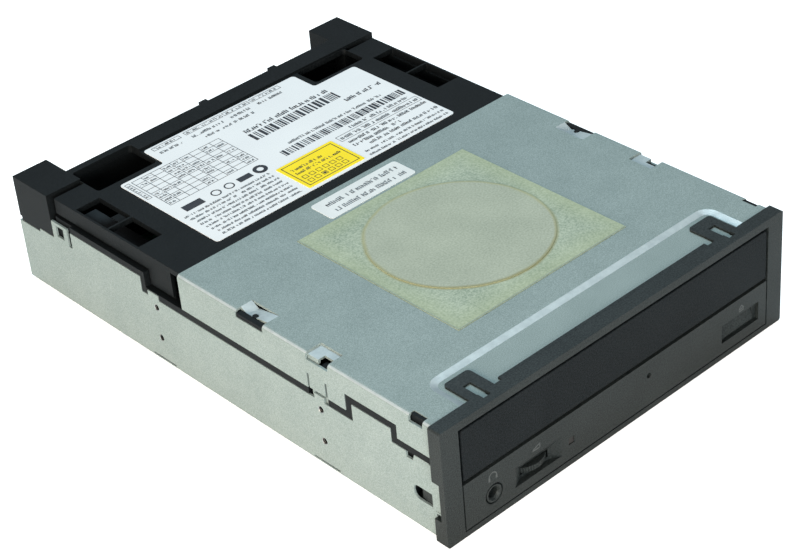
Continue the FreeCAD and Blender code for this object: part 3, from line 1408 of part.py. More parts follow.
def clamper():
    body = new_body("clamper")
    low = d.seat_z + d.slide_gap
    recess = d.cone_height + d.slide_gap
    cone = d.cone_radius + d.slide_gap * 2
    top = low + d.clamper_disc
    magnet_low = d.clamper_top_z - d.magnet_thick - d.slide_gap
    turn(body, polygon(
        (0, low + recess), (cone - d.cone_height / 2, low + recess), (cone, low), (d.clamper_radius, low),
        (d.clamper_radius, top), (d.clamper_neck, top), (d.clamper_neck, d.clamper_flange_z),
        (d.clamper_flange, d.clamper_flange_z), (d.clamper_flange, d.clamper_top_z),
        (d.magnet_radius, d.clamper_top_z), (d.magnet_radius, magnet_low), (0, magnet_low)))
    place(body, 0, back(d.disc_at))
    return body


def clamp_magnet():
    body = new_body("clamp_magnet")
    low = d.clamper_top_z - d.magnet_thick - d.slide_gap
    turn(body, polygon((d.axle, low), (d.magnet_radius - d.bore_gap, low),
                       (d.magnet_radius - d.bore_gap, low + d.magnet_thick), (d.axle, low + d.magnet_thick)))
    place(body, 0, back(d.disc_at))
    return body


# Lifter and optical mechanism

def lifter():
    body = new_body("lifter")
    front = back(d.lifter_front_at)
    end = back(d.lifter_end_at)
    low = d.lifter_low_z
    add(body, "Z", low, d.lifter_high_z, rect(-d.lifter_x, front, d.lifter_x, end, d.bend),
        rect(-d.lifter_inner_x, front + d.lifter_front_bar, d.lifter_inner_x, back(d.lifter_inner_end_at)))
    ears = []
    holes = []
    for station in (d.ear_front_at, d.ear_back_at):
        ears += both_sides(d.ear_inner_x, d.lifter_inner_x + d.sheet,
                           back(station) - d.ear_size / 2, back(station) + d.ear_size / 2)
        holes += circle(d.damper_x, back(station), d.damper_screw)
        holes += circle(-d.damper_x, back(station), d.damper_screw)
    add(body, "Z", low, d.ear_low_z, ears)
    cut(body, "Z", low - beyond, d.ear_low_z + beyond, holes)
    pins = circle(-d.cam_pin_x, d.cam_pin_z, d.cam_pin) + circle(d.cam_pin_x, d.cam_pin_z, d.cam_pin)
    add(body, "Y", back(d.slider_front_at), front + d.sheet, pins)
    pivot = circle(back(d.hinge_at), d.hinge_z, d.hinge_pin)
    reach = d.lifter_x + d.slide_gap + d.hinge_pin * 2.2
    inside = d.lifter_x - d.sheet
    add(body, "X", inside, reach, pivot)
    add(body, "X", -reach, -inside, pivot)
    return body


def dampers():
    """Four rubber grommets that carry the mechanism plate on the lifter's ears."""
    body = new_body("dampers", several=True)
    spots = []
    holes = []
    for station in (d.ear_front_at, d.ear_back_at):
        for x in (-d.damper_x, d.damper_x):
            spots += circle(x, back(station), d.damper_radius)
            holes += circle(x, back(station), d.damper_screw)
    add(body, "Z", d.ear_low_z, d.damper_high_z, spots)
    cut(body, "Z", d.ear_low_z - beyond, d.damper_high_z + beyond, holes)
    return body


def damper_screws():
    spots = [(x, back(at)) for x in (-d.damper_x, d.damper_x) for at in (d.ear_front_at, d.ear_back_at)]
    body = new_body("damper_screws", several=True)
    heads = []
    shanks = []
    slots = []
    for x, y in spots:
        heads += circle(x, y, d.damper_radius - d.slide_gap)
        shanks += circle(x, y, d.damper_screw)
        slots += rect(x - d.damper_screw, y - d.groove / 2, x + d.damper_screw, y + d.groove / 2)
    add(body, "Z", d.damper_high_z, d.damper_high_z + d.sheet, heads)
    add(body, "Z", d.lifter_low_z, d.damper_high_z, shanks)
    cut(body, "Z", d.damper_high_z + d.sheet - d.groove, d.damper_high_z + beyond, slots)
    return body


def mechanism_plate():
    body = new_body("mechanism_plate")
    front = back(d.mech_front_at)
    motor_inner = d.screw_x - d.sled_motor_radius - d.slide_gap
    motor_end = back(d.sled_motor_end_at) + d.slide_gap
    motor_front = back(d.sled_motor_front_at) - d.slide_gap
    add(body, "Z", d.mech_low_z, d.mech_high_z, polygon(
        (-d.mech_x, front), (d.mech_x, front), (d.mech_x, motor_front), (motor_inner, motor_front),
        (motor_inner, motor_end), (d.mech_x, motor_end), (d.mech_x, back(d.mech_end_at)),
        (-d.mech_x, back(d.mech_end_at))))
    holes = rect(-d.mech_open_x, back(d.mech_open_front_at), d.mech_open_x, back(d.mech_open_end_at), d.bend)
    for station in (d.ear_front_at, d.ear_back_at):
        for x in (-d.damper_x, d.damper_x):
            holes += circle(x, back(station), d.damper_radius)
    holes += circle(0, back(d.disc_at), d.spindle_shaft * 3)
    cut(body, "Z", d.mech_low_z - beyond, d.mech_high_z + beyond, holes)
    holder_low = d.rod_z - d.rod_radius - d.sheet
    blocks = []
    for start, end in ((d.rod_front_at - d.holder / 2, d.rod_front_at + d.holder),
                       (d.rod_end_at - d.holder, d.rod_end_at + d.holder / 2)):
        blocks += both_sides(d.rod_x - d.holder, d.rod_x + d.holder, back(start), back(end))
    add(body, "Z", holder_low, d.mech_low_z + d.sheet / 2, blocks)
    rods = circle(-d.rod_x, d.rod_z, d.rod_radius) + circle(d.rod_x, d.rod_z, d.rod_radius)
    cut(body, "Y", back(d.rod_front_at), back(d.rod_end_at), rods)
    screw_end = back(d.screw_end_at)
    add(body, "Y", screw_end - d.holder, screw_end + d.holder / 2, rect(
        d.screw_x - d.holder, d.screw_z - d.holder, d.screw_x + d.holder, d.mech_low_z + d.sheet / 2))
    cut(body, "Y", screw_end - d.holder - d.slit, screw_end + d.rest_gap, circle(
        d.screw_x, d.screw_z, d.screw_radius + d.bore_gap))
    return body


def guide_rods():
    body = new_body("guide_rods", several=True)
    rods = circle(-d.rod_x, d.rod_z, d.rod_radius) + circle(d.rod_x, d.rod_z, d.rod_radius)
    add(body, "Y", back(d.rod_front_at), back(d.rod_end_at), rods)
    return body


def pickup_sled():
    body = new_body("pickup_sled")
    front = back(d.sled_front_at)
    end = back(d.sled_end_at)
    ear_low = d.rod_z - d.rod_radius - d.sheet
    ear_high = d.rod_z + d.rod_radius + d.sheet / 2
    ear_outer = d.rod_x + d.rod_radius + d.sheet
    add(body, "Z", d.sled_low_z, d.sled_high_z, rect(-d.sled_x, front, d.sled_x, end, d.bend))
    bearings = []
    for start, stop in ((front, front + d.sled_ear * 2), (end - d.sled_ear * 2, end)):
        bearings += rect(-ear_outer, start, d.sheet - d.sled_x, stop)
    bearings += rect(d.sled_x - d.sheet, front + d.sled_ear, ear_outer, front + d.sled_ear * 3)
    add(body, "Z", ear_low, ear_high, bearings)
    add(body, "Z", d.sled_high_z, d.lens_housing_z, rect(
        -d.lens_housing_x, back(d.lens_at) - d.sled_ear * 2, d.lens_housing_x, end - d.sled_ear, d.bend))
    cut(body, "Z", d.lens_housing_z - d.sled_ear, d.lens_housing_z + beyond, circle(
        0, back(d.lens_at), d.lens_radius + d.sheet))
    nut_low = d.screw_z - d.screw_radius - d.slide_gap - d.sheet
    nut_front = front + d.sled_ear * 1.5
    nut_reach = d.screw_x - d.screw_radius - d.bore_gap
    add(body, "Z", nut_low, nut_low + d.sheet, rect(
        ear_outer - d.sheet, nut_front, d.screw_x + d.screw_radius, nut_front + d.sled_ear))
    add(body, "Z", nut_low, d.screw_z, rect(
        nut_reach - d.sheet, nut_front, nut_reach, nut_front + d.sled_ear))
    running = d.rod_radius + d.bore_gap
    bores = circle(-d.rod_x, d.rod_z, running) + circle(d.rod_x, d.rod_z, running)
    cut(body, "Y", front - beyond, end + beyond, bores)
    return body


def objective_lens():
    body = new_body("objective_lens")
    low = d.lens_housing_z - d.sled_ear
    turn(body, polygon((0, low), (d.lens_radius, low), (d.lens_radius, d.lens_top_z - d.sheet),
                       (d.lens_radius / 2, d.lens_top_z), (0, d.lens_top_z)))
    place(body, 0, back(d.lens_at))
    return body


def lead_screw():
    screw = document.addObject("Part::Cylinder", "lead_screw")
    screw.Placement = Placement(Vector(), Rotation(Vector(1, 0, 0), -90))
    bind(screw, "Radius", d.screw_radius)
    bind(screw, "Height", d.screw_end_at - d.sled_motor_end_at + d.holder)
    place(screw, d.screw_x, back(d.sled_motor_end_at) - d.holder, d.screw_z)
    subparts.append(screw)


def sled_motor():
    body = new_body("sled_motor")
    front = back(d.sled_motor_front_at)
    end = back(d.sled_motor_end_at)
    flat_side = d.sled_motor_radius * 0.8
    add(body, "Y", front, end, circle(d.screw_x, d.screw_z, d.sled_motor_radius))
    add(body, "Z", d.mech_high_z, d.mech_high_z + d.sheet, rect(
        d.screw_x - d.sled_motor_radius - d.holder, front + d.holder,
        d.screw_x - d.sled_motor_radius + d.holder, end - d.holder))
    cut(body, "Y", end - d.holder - d.rest_gap, end + beyond, circle(
        d.screw_x, d.screw_z, d.screw_radius + d.bore_gap))
    cut(body, "Z", d.screw_z + flat_side, d.screw_z + d.sled_motor_radius + beyond, rect(
        d.screw_x - d.sled_motor_radius * 2, front - beyond,
        d.screw_x + d.sled_motor_radius * 2, end + beyond))
    return body


def spindle_motor():
    body = new_body("spindle_motor")
    bore = d.spindle_shaft + d.bore_gap
    low = d.mech_low_z - d.holder
    turn(body, polygon(
        (0, low), (d.spindle_shaft * 3 - d.bore_gap, low), (d.spindle_shaft * 3 - d.bore_gap, d.mech_high_z),
        (d.spindle_radius, d.mech_high_z), (d.spindle_radius, d.spindle_high_z, d.sheet),
        (bore, d.spindle_high_z), (bore, low + d.sheet), (0, low + d.sheet)))
    place(body, 0, back(d.disc_at))
    return body


def turntable():
    body = new_body("turntable")
    hub = d.cone_radius * 0.75
    low = d.turntable_low_z
    foot = d.mech_low_z - d.holder + d.sheet + d.rest_gap
    turn(body, polygon(
        (0, foot), (d.spindle_shaft, foot), (d.spindle_shaft, low), (hub, low),
        (hub, d.seat_z - d.bridge_sheet),
        (d.seat_radius, d.seat_z - d.bridge_sheet), (d.seat_radius, d.seat_z - d.groove),
        (d.cone_radius, d.seat_z - d.groove), (d.cone_radius, d.seat_z),
        (d.cone_radius - d.cone_height / 2, d.seat_z + d.cone_height), (0, d.seat_z + d.cone_height)))
    place(body, 0, back(d.disc_at))
    return body


def seat_ring():
    body = new_body("seat_ring")
    low = d.seat_z - d.groove
    turn(body, polygon((d.cone_radius + d.holder, low), (d.seat_radius - d.groove, low),
                       (d.seat_radius - d.groove, d.seat_z), (d.cone_radius + d.holder, d.seat_z)))
    place(body, 0, back(d.disc_at))
    return body


# Front controls

def volume_dial():
    body = new_body("volume_dial")
    low = (d.dial_slot_low_z + d.dial_slot_high_z - d.dial_thick) / 2
    turn(body, polygon(
        (0, low - d.sheet), (d.gear_hub, low - d.sheet), (d.gear_hub, low), (d.dial_radius, low),
        (d.dial_radius, low + d.dial_thick), (0, low + d.dial_thick)))
    grip = cut(body, "Z", low - d.slit, low + d.dial_thick + d.slit, polygon(
        (-d.dial_knurl, d.dial_radius + d.dial_knurl), (0, d.dial_radius - d.dial_knurl),
        (d.dial_knurl, d.dial_radius + d.dial_knurl)))
    round_copies(body, grip, d.dial_knurls)
    place(body, d.dial_x, back(d.dial_radius + d.dial_proud))
    return body


def volume_pot():
    body = new_body("volume_pot")
    low = (d.dial_slot_low_z + d.dial_slot_high_z - d.dial_thick) / 2
    half = d.gear_hub * 1.6
    middle = back(d.dial_radius + d.dial_proud)
    top = low - d.slide_gap
    add(body, "Z", board_top, top, rect(
        d.dial_x - half, middle - half / 2, d.dial_x + half, middle + half * 1.6))
    cut(body, "Z", low - d.sheet - d.rest_gap, top + beyond, circle(d.dial_x, middle, d.gear_hub + d.bore_gap))
    return body


def headphone_jack():
    body = new_body("headphone_jack")
    front = back(0)
    shoulder = back(d.bezel_face) + d.rest_gap
    end = shoulder + d.jack_nose * 4
    half = d.jack_z - board_top
    add(body, "Y", shoulder, end, rect(
        d.jack_x - half, board_top, d.jack_x + half, board_top + half * 2, d.groove))
    add(body, "Y", front, shoulder, circle(d.jack_x, d.jack_z, d.jack_nose))
    cut(body, "Y", front - beyond, end + beyond, circle(d.jack_x, d.jack_z, d.jack_bore))
    narrow = d.jack_bore - (d.jack_mouth - d.jack_bore) / 2
    funnel(body, front, circle(d.jack_x, d.jack_z, d.jack_mouth),
           front + d.sheet * 1.5, circle(d.jack_x, d.jack_z, narrow))
    return body


def busy_lamp():
    body = new_body("busy_lamp")
    half = d.lamp_size / 2 - d.bore_gap
    front = back(d.rest_gap)
    shoulder = back(d.bezel_depth) + d.slide_gap
    add(body, "Y", front, shoulder, rect(d.lamp_x - half, d.lamp_z - half, d.lamp_x + half, d.lamp_z + half))
    add(body, "Y", shoulder, shoulder + d.lamp_size * 1.5, rect(
        d.lamp_x - d.lamp_size, board_top, d.lamp_x + d.lamp_size, d.lamp_z + d.lamp_size / 1.5, d.groove))
    return body


def eject_button():
    body = new_body("eject_button")
    front = back(d.button_proud)
    deep = back(d.bezel_depth) - d.button_travel
    reach = deep + d.button_travel
    high = d.button_high_z
    low = d.button_low_z
    add(body, "X", d.button_left_x, d.button_right_x, polygon(
        (front, low), (deep, low), (deep, high), (front + d.button_lean, high)))
    stem_x = (d.button_left_x + d.button_right_x) / 2
    stem_z = (low + high) / 2
    half = d.lamp_size / 2
    add(body, "Y", deep, reach + d.button_travel, rect(
        stem_x - half, stem_z - half, stem_x + half, stem_z + half))
    return body


def eject_switch():
    body = new_body("eject_switch")
    stem_x = (d.button_left_x + d.button_right_x) / 2
    plunger_front = back(d.bezel_depth) + d.button_travel * 2 + d.bore_gap * 2
    front = plunger_front + d.sheet
    half = d.gear_hub
    add(body, "Y", front, front + d.gear_hub, rect(
        stem_x - half, board_top, stem_x + half, d.button_high_z, d.groove))
    add(body, "Y", plunger_front, front, circle(stem_x, (d.button_low_z + d.button_high_z) / 2, d.axle))
    return body


# Circuit boards and what they carry

def front_board():
    body = new_body("front_board")
    front = back(d.front_board_front_at)
    add(body, "Z", d.board_low_z, board_top, polygon(
        (d.front_board_left_x, front), (d.front_board_right_x, front),
        (d.front_board_right_x, back(d.front_board_step_at)),
        (d.front_board_step_x, back(d.front_board_step_at)), (d.front_board_step_x, back(d.front_board_back_at)),
        (d.front_board_left_x, back(d.front_board_back_at))))
    return body


def main_board():
    body = new_body("main_board")
    add(body, "Z", d.board_low_z, board_top, rect(
        -d.main_board_x, back(d.main_board_front_at), d.main_board_x, back(d.main_board_end_at), d.bend))
    holes = []
    for x in (-d.stud_x, d.stud_x):
        for station in (d.stud_front_at, d.stud_back_at):
            holes += circle(x, back(station), d.mount_hole)
    cut(body, "Z", d.board_low_z - beyond, board_top + beyond, holes)
    return body


def chips():
    """The packages soldered to the main board: body sizes and places of each kind."""
    kinds = (
        ("bus_chip", -16, 176, 20, 14, 2.4),
        ("servo_chip", 16, 126, 14, 14, 1.3),
        ("decoder_chip", -18, 126, 16, 16, 1.3),
        ("memory_chip", 22, 174, 16, 8, 2.4),
    )
    for name, x, station, width, length, height in kinds:
        body = new_body(name)
        y = back(station)
        leg = d.pin_size * 2
        add(body, "Z", board_top + d.rest_gap, board_top + height, rect(
            x - width / 2, y - length / 2, x + width / 2, y + length / 2))
        legs = []
        count = int(width / (DIMENSIONS["pin_pitch"] / 2)) - 1
        for index in range(count):
            leg_x = x + (index - (count - 1) / 2) * d.pin_pitch / 2
            for side in (-1, 1):
                near = y + side * (length / 2 + leg / 2) - leg
                legs += rect(leg_x - d.pin_size / 2, near, leg_x + d.pin_size / 2, near + leg * 2)
        add(body, "Z", board_top, board_top + d.pin_size, legs)


def capacitors():
    body = new_body("capacitors", several=True)
    spots = []
    for x, station in ((-58, 172), (-50, 172), (56, 176), (63, 176), (44, 183)):
        spots += circle(x, back(station), d.gear_hub - d.groove)
    add(body, "Z", board_top, board_top + d.gear_hub * 2, spots)
    return body


def panel_ribbon():
    body = new_body("panel_ribbon")
    front = back(d.front_board_back_at) - d.socket_depth / 2
    end = back(d.main_board_front_at) + d.socket_depth
    add(body, "Z", d.ribbon_z, d.ribbon_z + d.ribbon_thick, rect(
        d.ribbon_left_x, front, d.ribbon_right_x, end))
    return body


def ribbon_sockets():
    body = new_body("ribbon_sockets", several=True)
    margin = d.sheet * 1.5
    top = d.ribbon_z + d.ribbon_thick + d.sheet
    near = back(d.front_board_back_at - d.socket_depth - d.sheet)
    far = back(d.main_board_front_at + d.sheet)
    housings = []
    for start in (near, far):
        housings += rect(
            d.ribbon_left_x - margin, start, d.ribbon_right_x + margin, start + d.socket_depth)
    add(body, "Z", board_top, top, housings)
    cut(body, "Y", near - beyond, far + d.socket_depth + beyond, rect(
        d.ribbon_left_x - d.bore_gap, d.ribbon_z, d.ribbon_right_x + d.bore_gap, d.ribbon_z + d.ribbon_thick))
    return body


def bus_connector():
    body = new_body("bus_connector")
    front = back(d.connector_front_at)
    end = back(d.connector_end_at)
    top = board_top + d.bus_height
    add(body, "Y", front, end, rect(d.bus_left_x, board_top, d.bus_right_x, top))
    cut(body, "Y", front + d.bus_wall * 2, end + beyond, rect(
        d.bus_left_x + d.bus_wall, board_top + d.bus_wall, d.bus_right_x - d.bus_wall, top - d.bus_wall))
    middle = (d.bus_left_x + d.bus_right_x) / 2
    cut(body, "Y", front + d.bus_wall * 3, end + beyond, rect(
        middle - d.bus_wall * 1.4, top - d.bus_wall * 1.5, middle + d.bus_wall * 1.4, top + beyond))
    return body


def header_pins(name, left, low, columns, rows, root):
    """Square pins of a header in a grid, pointing to the rear from the root of its housing."""
    body = new_body(name, several=True)
    front = back(d.connector_front_at) + root
    end = back(d.connector_end_at) - d.bus_wall
    half = d.pin_size / 2
    pin = add(body, "Y", front, end, rect(left - half, low - half, left + half, low + half))
    pattern = body.newObject("PartDesign::MultiTransform", name + "_grid")
    pattern.Originals = [pin]
    body.Tip = pattern
    along = body.newObject("PartDesign::LinearPattern", name + "_columns")
    along.Direction = (pin.Profile[0], ["H_Axis"])
    bind(along, "Length", d.pin_pitch * (columns - 1))
    bind(along, "Occurrences", columns)
    up = body.newObject("PartDesign::LinearPattern", name + "_rows")
    up.Direction = (pin.Profile[0], ["V_Axis"])
    bind(up, "Length", d.pin_pitch * (rows - 1))
    bind(up, "Occurrences", rows)
    pattern.Transformations = [along, up]
    return body


def bus_pins():
    middle = (d.bus_left_x + d.bus_right_x) / 2
    header_pins("bus_pins", middle - d.pin_pitch * 12, board_top + d.bus_height / 2 - d.pin_pitch / 2,
                25, 2, d.bus_wall * 2)


def power_connector():
    body = new_body("power_connector")
    front = back(d.connector_front_at)
    end = back(d.connector_end_at)
    top = board_top + d.power_height
    add(body, "Y", front, end, rect(d.power_left_x, board_top, d.power_right_x, top))
    wall = d.bus_wall / 2
    bevel = d.bus_wall * 1.4
    left = d.power_left_x + wall
    right = d.power_right_x - wall
    cut(body, "Y", front + d.bus_wall, end + beyond, polygon(
        (left, top - wall), (left, board_top + wall + bevel), (left + bevel, board_top + wall),
        (right - bevel, board_top + wall), (right, board_top + wall + bevel), (right, top - wall)))
    return body


def power_pins():
    body = new_body("power_pins", several=True)
    middle_x = (d.power_left_x + d.power_right_x) / 2
    middle_z = board_top + d.power_height / 2
    pins = []
    for index in range(4):
        pins += circle(middle_x + (index - 1.5) * d.power_pitch, middle_z, d.power_pin)
    add(body, "Y", back(d.connector_front_at) + d.bus_wall, back(d.connector_end_at) - d.bus_wall, pins)
    return body


def jumper_block():
    body = new_body("jumper_block")
    front = back(d.connector_front_at)
    top = board_top + d.pin_pitch * 2
    width = d.pin_pitch * d.jumper_columns
    add(body, "Y", front, front + d.bus_wall * 2, rect(
        d.jumper_left_x, board_top, d.jumper_left_x + width, top))
    return body


def jumper_pins():
    header_pins("jumper_pins", d.jumper_left_x + d.pin_pitch / 2, board_top + d.pin_pitch / 2,
                DIMENSIONS["jumper_columns"], 2, d.bus_wall * 2)


def jumper_shunt():
    body = new_body("jumper_shunt")
    low = board_top + d.groove
    left = d.jumper_left_x + d.bore_gap
    front = back(d.connector_front_at) + d.bus_wall * 2
    end = back(d.connector_end_at)
    add(body, "Y", front, end, rect(left, low, left + d.pin_pitch - d.bore_gap * 2, low + d.pin_pitch * 1.8))
    holes = []
    for row in (0, 1):
        z = board_top + d.pin_pitch / 2 + row * d.pin_pitch
        half = d.pin_size / 2
        x = d.jumper_left_x + d.pin_pitch / 2
        holes += rect(x - half, z - half, x + half, z + half)
    cut(body, "Y", front - beyond, end - d.bus_wall, holes)
    return body


def audio_connector():
    body = new_body("audio_connector")
    front = back(d.connector_front_at)
    end = back(d.connector_end_at)
    top = board_top + d.audio_height
    add(body, "Y", front, end, rect(d.audio_left_x, board_top, d.audio_right_x, top))
    wall = d.bus_wall / 2
    cut(body, "Y", front + d.bus_wall, end + beyond, rect(
        d.audio_left_x + wall, board_top + wall, d.audio_right_x - wall, top - wall))
    middle = (d.audio_left_x + d.audio_right_x) / 2
    cut(body, "Y", end - d.bus_wall * 3, end + beyond, rect(
        middle - d.pin_pitch, top - d.bus_wall, middle + d.pin_pitch, top + beyond))
    return body


def audio_pins():
    middle = (d.audio_left_x + d.audio_right_x) / 2
    header_pins("audio_pins", middle - d.pin_pitch * 1.5, board_top + d.audio_height / 2,
                4, 1, d.bus_wall)


# Labels and film

def flat_piece(name, low, outline):
    body = new_body(name)
    add(body, "Z", low, as_size(low) + d.paper, outline)
    return body


def labels():
    film = flat_piece("film_patch", d.roof_z, rect(
        -d.film_x, back(d.film_front_at), d.film_x, back(d.film_back_at)))
    add(film, "Z", d.roof_z, d.roof_z + d.ring_lift + d.paper, circle(
        0, back(d.disc_at), d.ring_radius + d.paper))
    cut(film, "Z", d.roof_z - beyond, d.roof_z + d.ring_lift, circle(0, back(d.disc_at), d.ring_radius))
    flat_piece("small_label", d.roof_z, rect(
        d.small_label_left, back(d.small_label_front_at), d.small_label_right, back(d.small_label_back_at),
        d.bend))
    inner = d.rating_inner_x
    step = back(d.rating_step_at)
    end = back(d.rating_back_at)
    front = back(d.rating_front_at)
    corner = d.bend
    flat_piece("rating_label", d.deck_z, polygon(
        (-d.rating_x, front, corner), (d.rating_x, front, corner), (d.rating_x, step, corner),
        (inner, step, corner), (inner, end, corner), (-inner, end, corner), (-inner, step, corner),
        (-d.rating_x, step, corner)))
    flat_piece("notice_sticker", d.deck_z + d.paper, rect(
        -d.notice_x, back(d.notice_front_at), d.notice_x, back(d.notice_back_at), d.groove))


def chassis_screws():
    spots = [(side * boss_x, back(at)) for side in (-1, 1) for at in (d.boss_front_at, d.boss_back_at)]
    body = new_body("chassis_screws", several=True)
    heads = []
    shanks = []
    for x, y in spots:
        heads += circle(x, y, d.axle * 1.6)
        shanks += circle(x, y, d.mount_hole - d.bore_gap)
    add(body, "Z", d.floor_z / 4, d.floor_z, heads)
    add(body, "Z", d.floor_z, d.boss_high_z - d.bridge_sheet, shanks)
    return body


def build():
    bottom_chassis()
    top_cover()
    rear_cover()
    main_frame()
    front_bezel()
    tray_lid()
    tray()
    tray_gear()
    pulley_gear()
    motor_pulley()
    loading_motor()
    drive_belt()
    cam_slider()
    clamp_bridge()
    bridge_screws()
    clamper()
    clamp_magnet()
    lifter()
    dampers()
    damper_screws()
    mechanism_plate()
    guide_rods()
    pickup_sled()
    objective_lens()
    lead_screw()
    sled_motor()
    spindle_motor()
    turntable()
    seat_ring()
    volume_dial()
    volume_pot()
    headphone_jack()
    busy_lamp()
    eject_button()
    eject_switch()
    front_board()
    main_board()
    board_screws()
    chips()
    capacitors()
    panel_ribbon()
    ribbon_sockets()
    bus_connector()
    bus_pins()
    power_connector()
    power_pins()
    jumper_block()
    jumper_pins()
    jumper_shunt()
    audio_connector()
    audio_pins()
    labels()
    chassis_screws()


def check_and_export():
    document.recompute()
    failed = [item.Name for item in document.Objects if {"Invalid", "Error"} & set(item.State)]
    failed += [item.Name for item in subparts if item.Shape.isNull() or not item.Shape.isValid()]
    if failed:
        raise RuntimeError("not built: " + ", ".join(failed))
    removing = ("PartDesign::Pocket", "PartDesign::Groove", "PartDesign::SubtractiveLoft")
    for item in document.Objects:
        if item.TypeId in removing and item.Shape.Volume > item.BaseFeature.Shape.Volume - 1e-6:
            print("cuts nothing:", item.Name)
    for item in subparts:
        if len(item.Shape.Solids) > 1 and item.Name not in groups:
            print("in loose pieces:", item.Name, [round(solid.Volume, 2) for solid in item.Shape.Solids])
    os.makedirs("parts", exist_ok=True)
    for item in subparts:
        item.Shape.exportStep(f"parts/{item.Label}.step")
    print(len(subparts), "sub-parts written")


build()
check_and_export()
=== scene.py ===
# %% [markdown]
# # A half-height disc drive
# The drive slides into the front of a desktop computer. It is a tub and a lid of folded steel, with a black
# moulded front, a black rear cover, paper labels and a patch of clear film.
# Its solids were made to measure in a CAD program, and they come first, as a fixed frame. They could be
# modelled again here, but then nothing would keep the two models at the same size. So this lesson only
# dresses them: with finishes, soft edges, print and light.

# %% Load the frame
import json
import math
import random

import bmesh
import bpy
from mathutils import Matrix, Vector

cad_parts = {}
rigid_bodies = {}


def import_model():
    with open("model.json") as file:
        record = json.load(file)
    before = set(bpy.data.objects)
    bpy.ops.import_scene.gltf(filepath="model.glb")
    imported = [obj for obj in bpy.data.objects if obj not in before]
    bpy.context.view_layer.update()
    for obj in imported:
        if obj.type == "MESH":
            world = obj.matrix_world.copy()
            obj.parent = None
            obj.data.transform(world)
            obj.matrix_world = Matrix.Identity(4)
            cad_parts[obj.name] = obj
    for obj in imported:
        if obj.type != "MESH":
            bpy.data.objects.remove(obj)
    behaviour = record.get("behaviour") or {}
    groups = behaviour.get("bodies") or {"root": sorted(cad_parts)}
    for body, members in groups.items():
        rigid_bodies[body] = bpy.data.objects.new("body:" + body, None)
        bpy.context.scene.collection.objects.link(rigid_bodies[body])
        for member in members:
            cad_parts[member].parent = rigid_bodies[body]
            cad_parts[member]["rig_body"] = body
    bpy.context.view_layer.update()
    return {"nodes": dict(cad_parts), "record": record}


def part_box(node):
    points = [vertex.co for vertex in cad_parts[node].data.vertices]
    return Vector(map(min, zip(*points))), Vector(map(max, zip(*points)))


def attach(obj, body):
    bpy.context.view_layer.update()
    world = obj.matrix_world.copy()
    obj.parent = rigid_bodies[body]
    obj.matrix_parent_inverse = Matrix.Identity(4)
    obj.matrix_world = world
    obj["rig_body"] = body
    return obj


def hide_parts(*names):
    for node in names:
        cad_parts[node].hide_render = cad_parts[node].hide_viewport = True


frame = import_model()
solids = frame["nodes"]
print("solid nodes:", len(solids))

# %% [markdown]
# ## Places on the drive
# A scene is measured in metres from a middle point, but a drive is measured with a ruler, in millimetres
# back from the front face of its bezel. Each number could be converted by hand, and each would be a chance
# to slip. One small helper, `spot`, does it instead, so that the numbers below are the ones on the ruler.

# %% From the ruler to the scene
MM = 0.001
MM_PER_METRE = 1000.0
HALF_LENGTH = 104.0


def spot(x, behind, z):
    """The point so many millimetres across, behind the bezel's face and up."""
    return Vector((x, behind - HALF_LENGTH, z)) * MM


def top_of(node):
    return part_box(node)[1][2] / MM


print("top of the large label:", round(top_of("rating_label"), 2), "mm")

# %% [markdown]
# ## Wiring finishes from code
# A finish is a small net of nodes. In the shader editor it is wired by hand, with lines drawn from socket to
# socket. In a script the same net would take pages, so a few short helpers come first. `feed` gives a socket
# either a plain value or another socket, and everything after it is built on that.

# %% Nodes and links
def add_node(tree, kind, **settings):
    node = tree.nodes.new(kind)
    for key, value in settings.items():
        setattr(node, key, value)
    return node


def feed(tree, value, socket):
    """Give a socket a plain value, or join another socket to it."""
    if isinstance(value, bpy.types.NodeSocket):
        tree.links.new(value, socket)
    else:
        socket.default_value = value


# %% Sums, stretches and blends
def maths(tree, operation, *values, clamp=False):
    node = add_node(tree, "ShaderNodeMath", operation=operation, use_clamp=clamp)
    for place, value in enumerate(values):
        feed(tree, value, node.inputs[place])
    return node.outputs[0]


def stretched(tree, value, low, high):
    """The value, stretched so that low becomes 0 and high becomes 1."""
    node = add_node(tree, "ShaderNodeMapRange")
    node.inputs["From Min"].default_value = low
    node.inputs["From Max"].default_value = high
    feed(tree, value, node.inputs["Value"])
    return node.outputs["Result"]


def blended(tree, amount, under, over):
    """One colour over another, by an amount between 0 and 1."""
    node = add_node(tree, "ShaderNodeMix", data_type="RGBA")
    for label, value in (("Factor", amount), ("A", under), ("B", over)):
        feed(tree, value, node.inputs[label])
    return node.outputs["Result"]


# %% [markdown]
# ## Shared effects
# Most finishes here need two things that change over the surface: a fine grain, and a slow drift of tone.
# They could be wired anew in each material, and then each change would have to be made twenty times.
# A node group is built once, has inputs with names, and is placed in each material with its own values.

# %% Making and placing a group
SOCKET_KINDS = {"float": "NodeSocketFloat", "color": "NodeSocketColor"}


def new_group(name, inputs, outputs):
    """A node group with named sockets, with its entry and its way out."""
    group = bpy.data.node_groups.new(name, "ShaderNodeTree")
    for label, kind, value in inputs:
        socket = group.interface.new_socket(label, in_out="INPUT", socket_type=SOCKET_KINDS[kind])
        socket.default_value = value
    for label, kind in outputs:
        group.interface.new_socket(label, in_out="OUTPUT", socket_type=SOCKET_KINDS[kind])
    return group, group.nodes.new("NodeGroupInput"), group.nodes.new("NodeGroupOutput")


def place_group(tree, group, inputs):
    node = add_node(tree, "ShaderNodeGroup", node_tree=group)
    for label, value in inputs.items():
        feed(tree, value, node.inputs[label])
    return node


# %% [markdown]
# ### Fine grain
# Zinc, moulded plastic and paper are all a little uneven, and light catches on it. A picture of grain could be
# wrapped round the part, but that needs unfolded faces and turns soft close up. A noise texture needs neither.
# It is read at the object's own coordinates, so the grain stays put in every view, and its size is given
# in millimetres, so that it can be compared with the real surface.

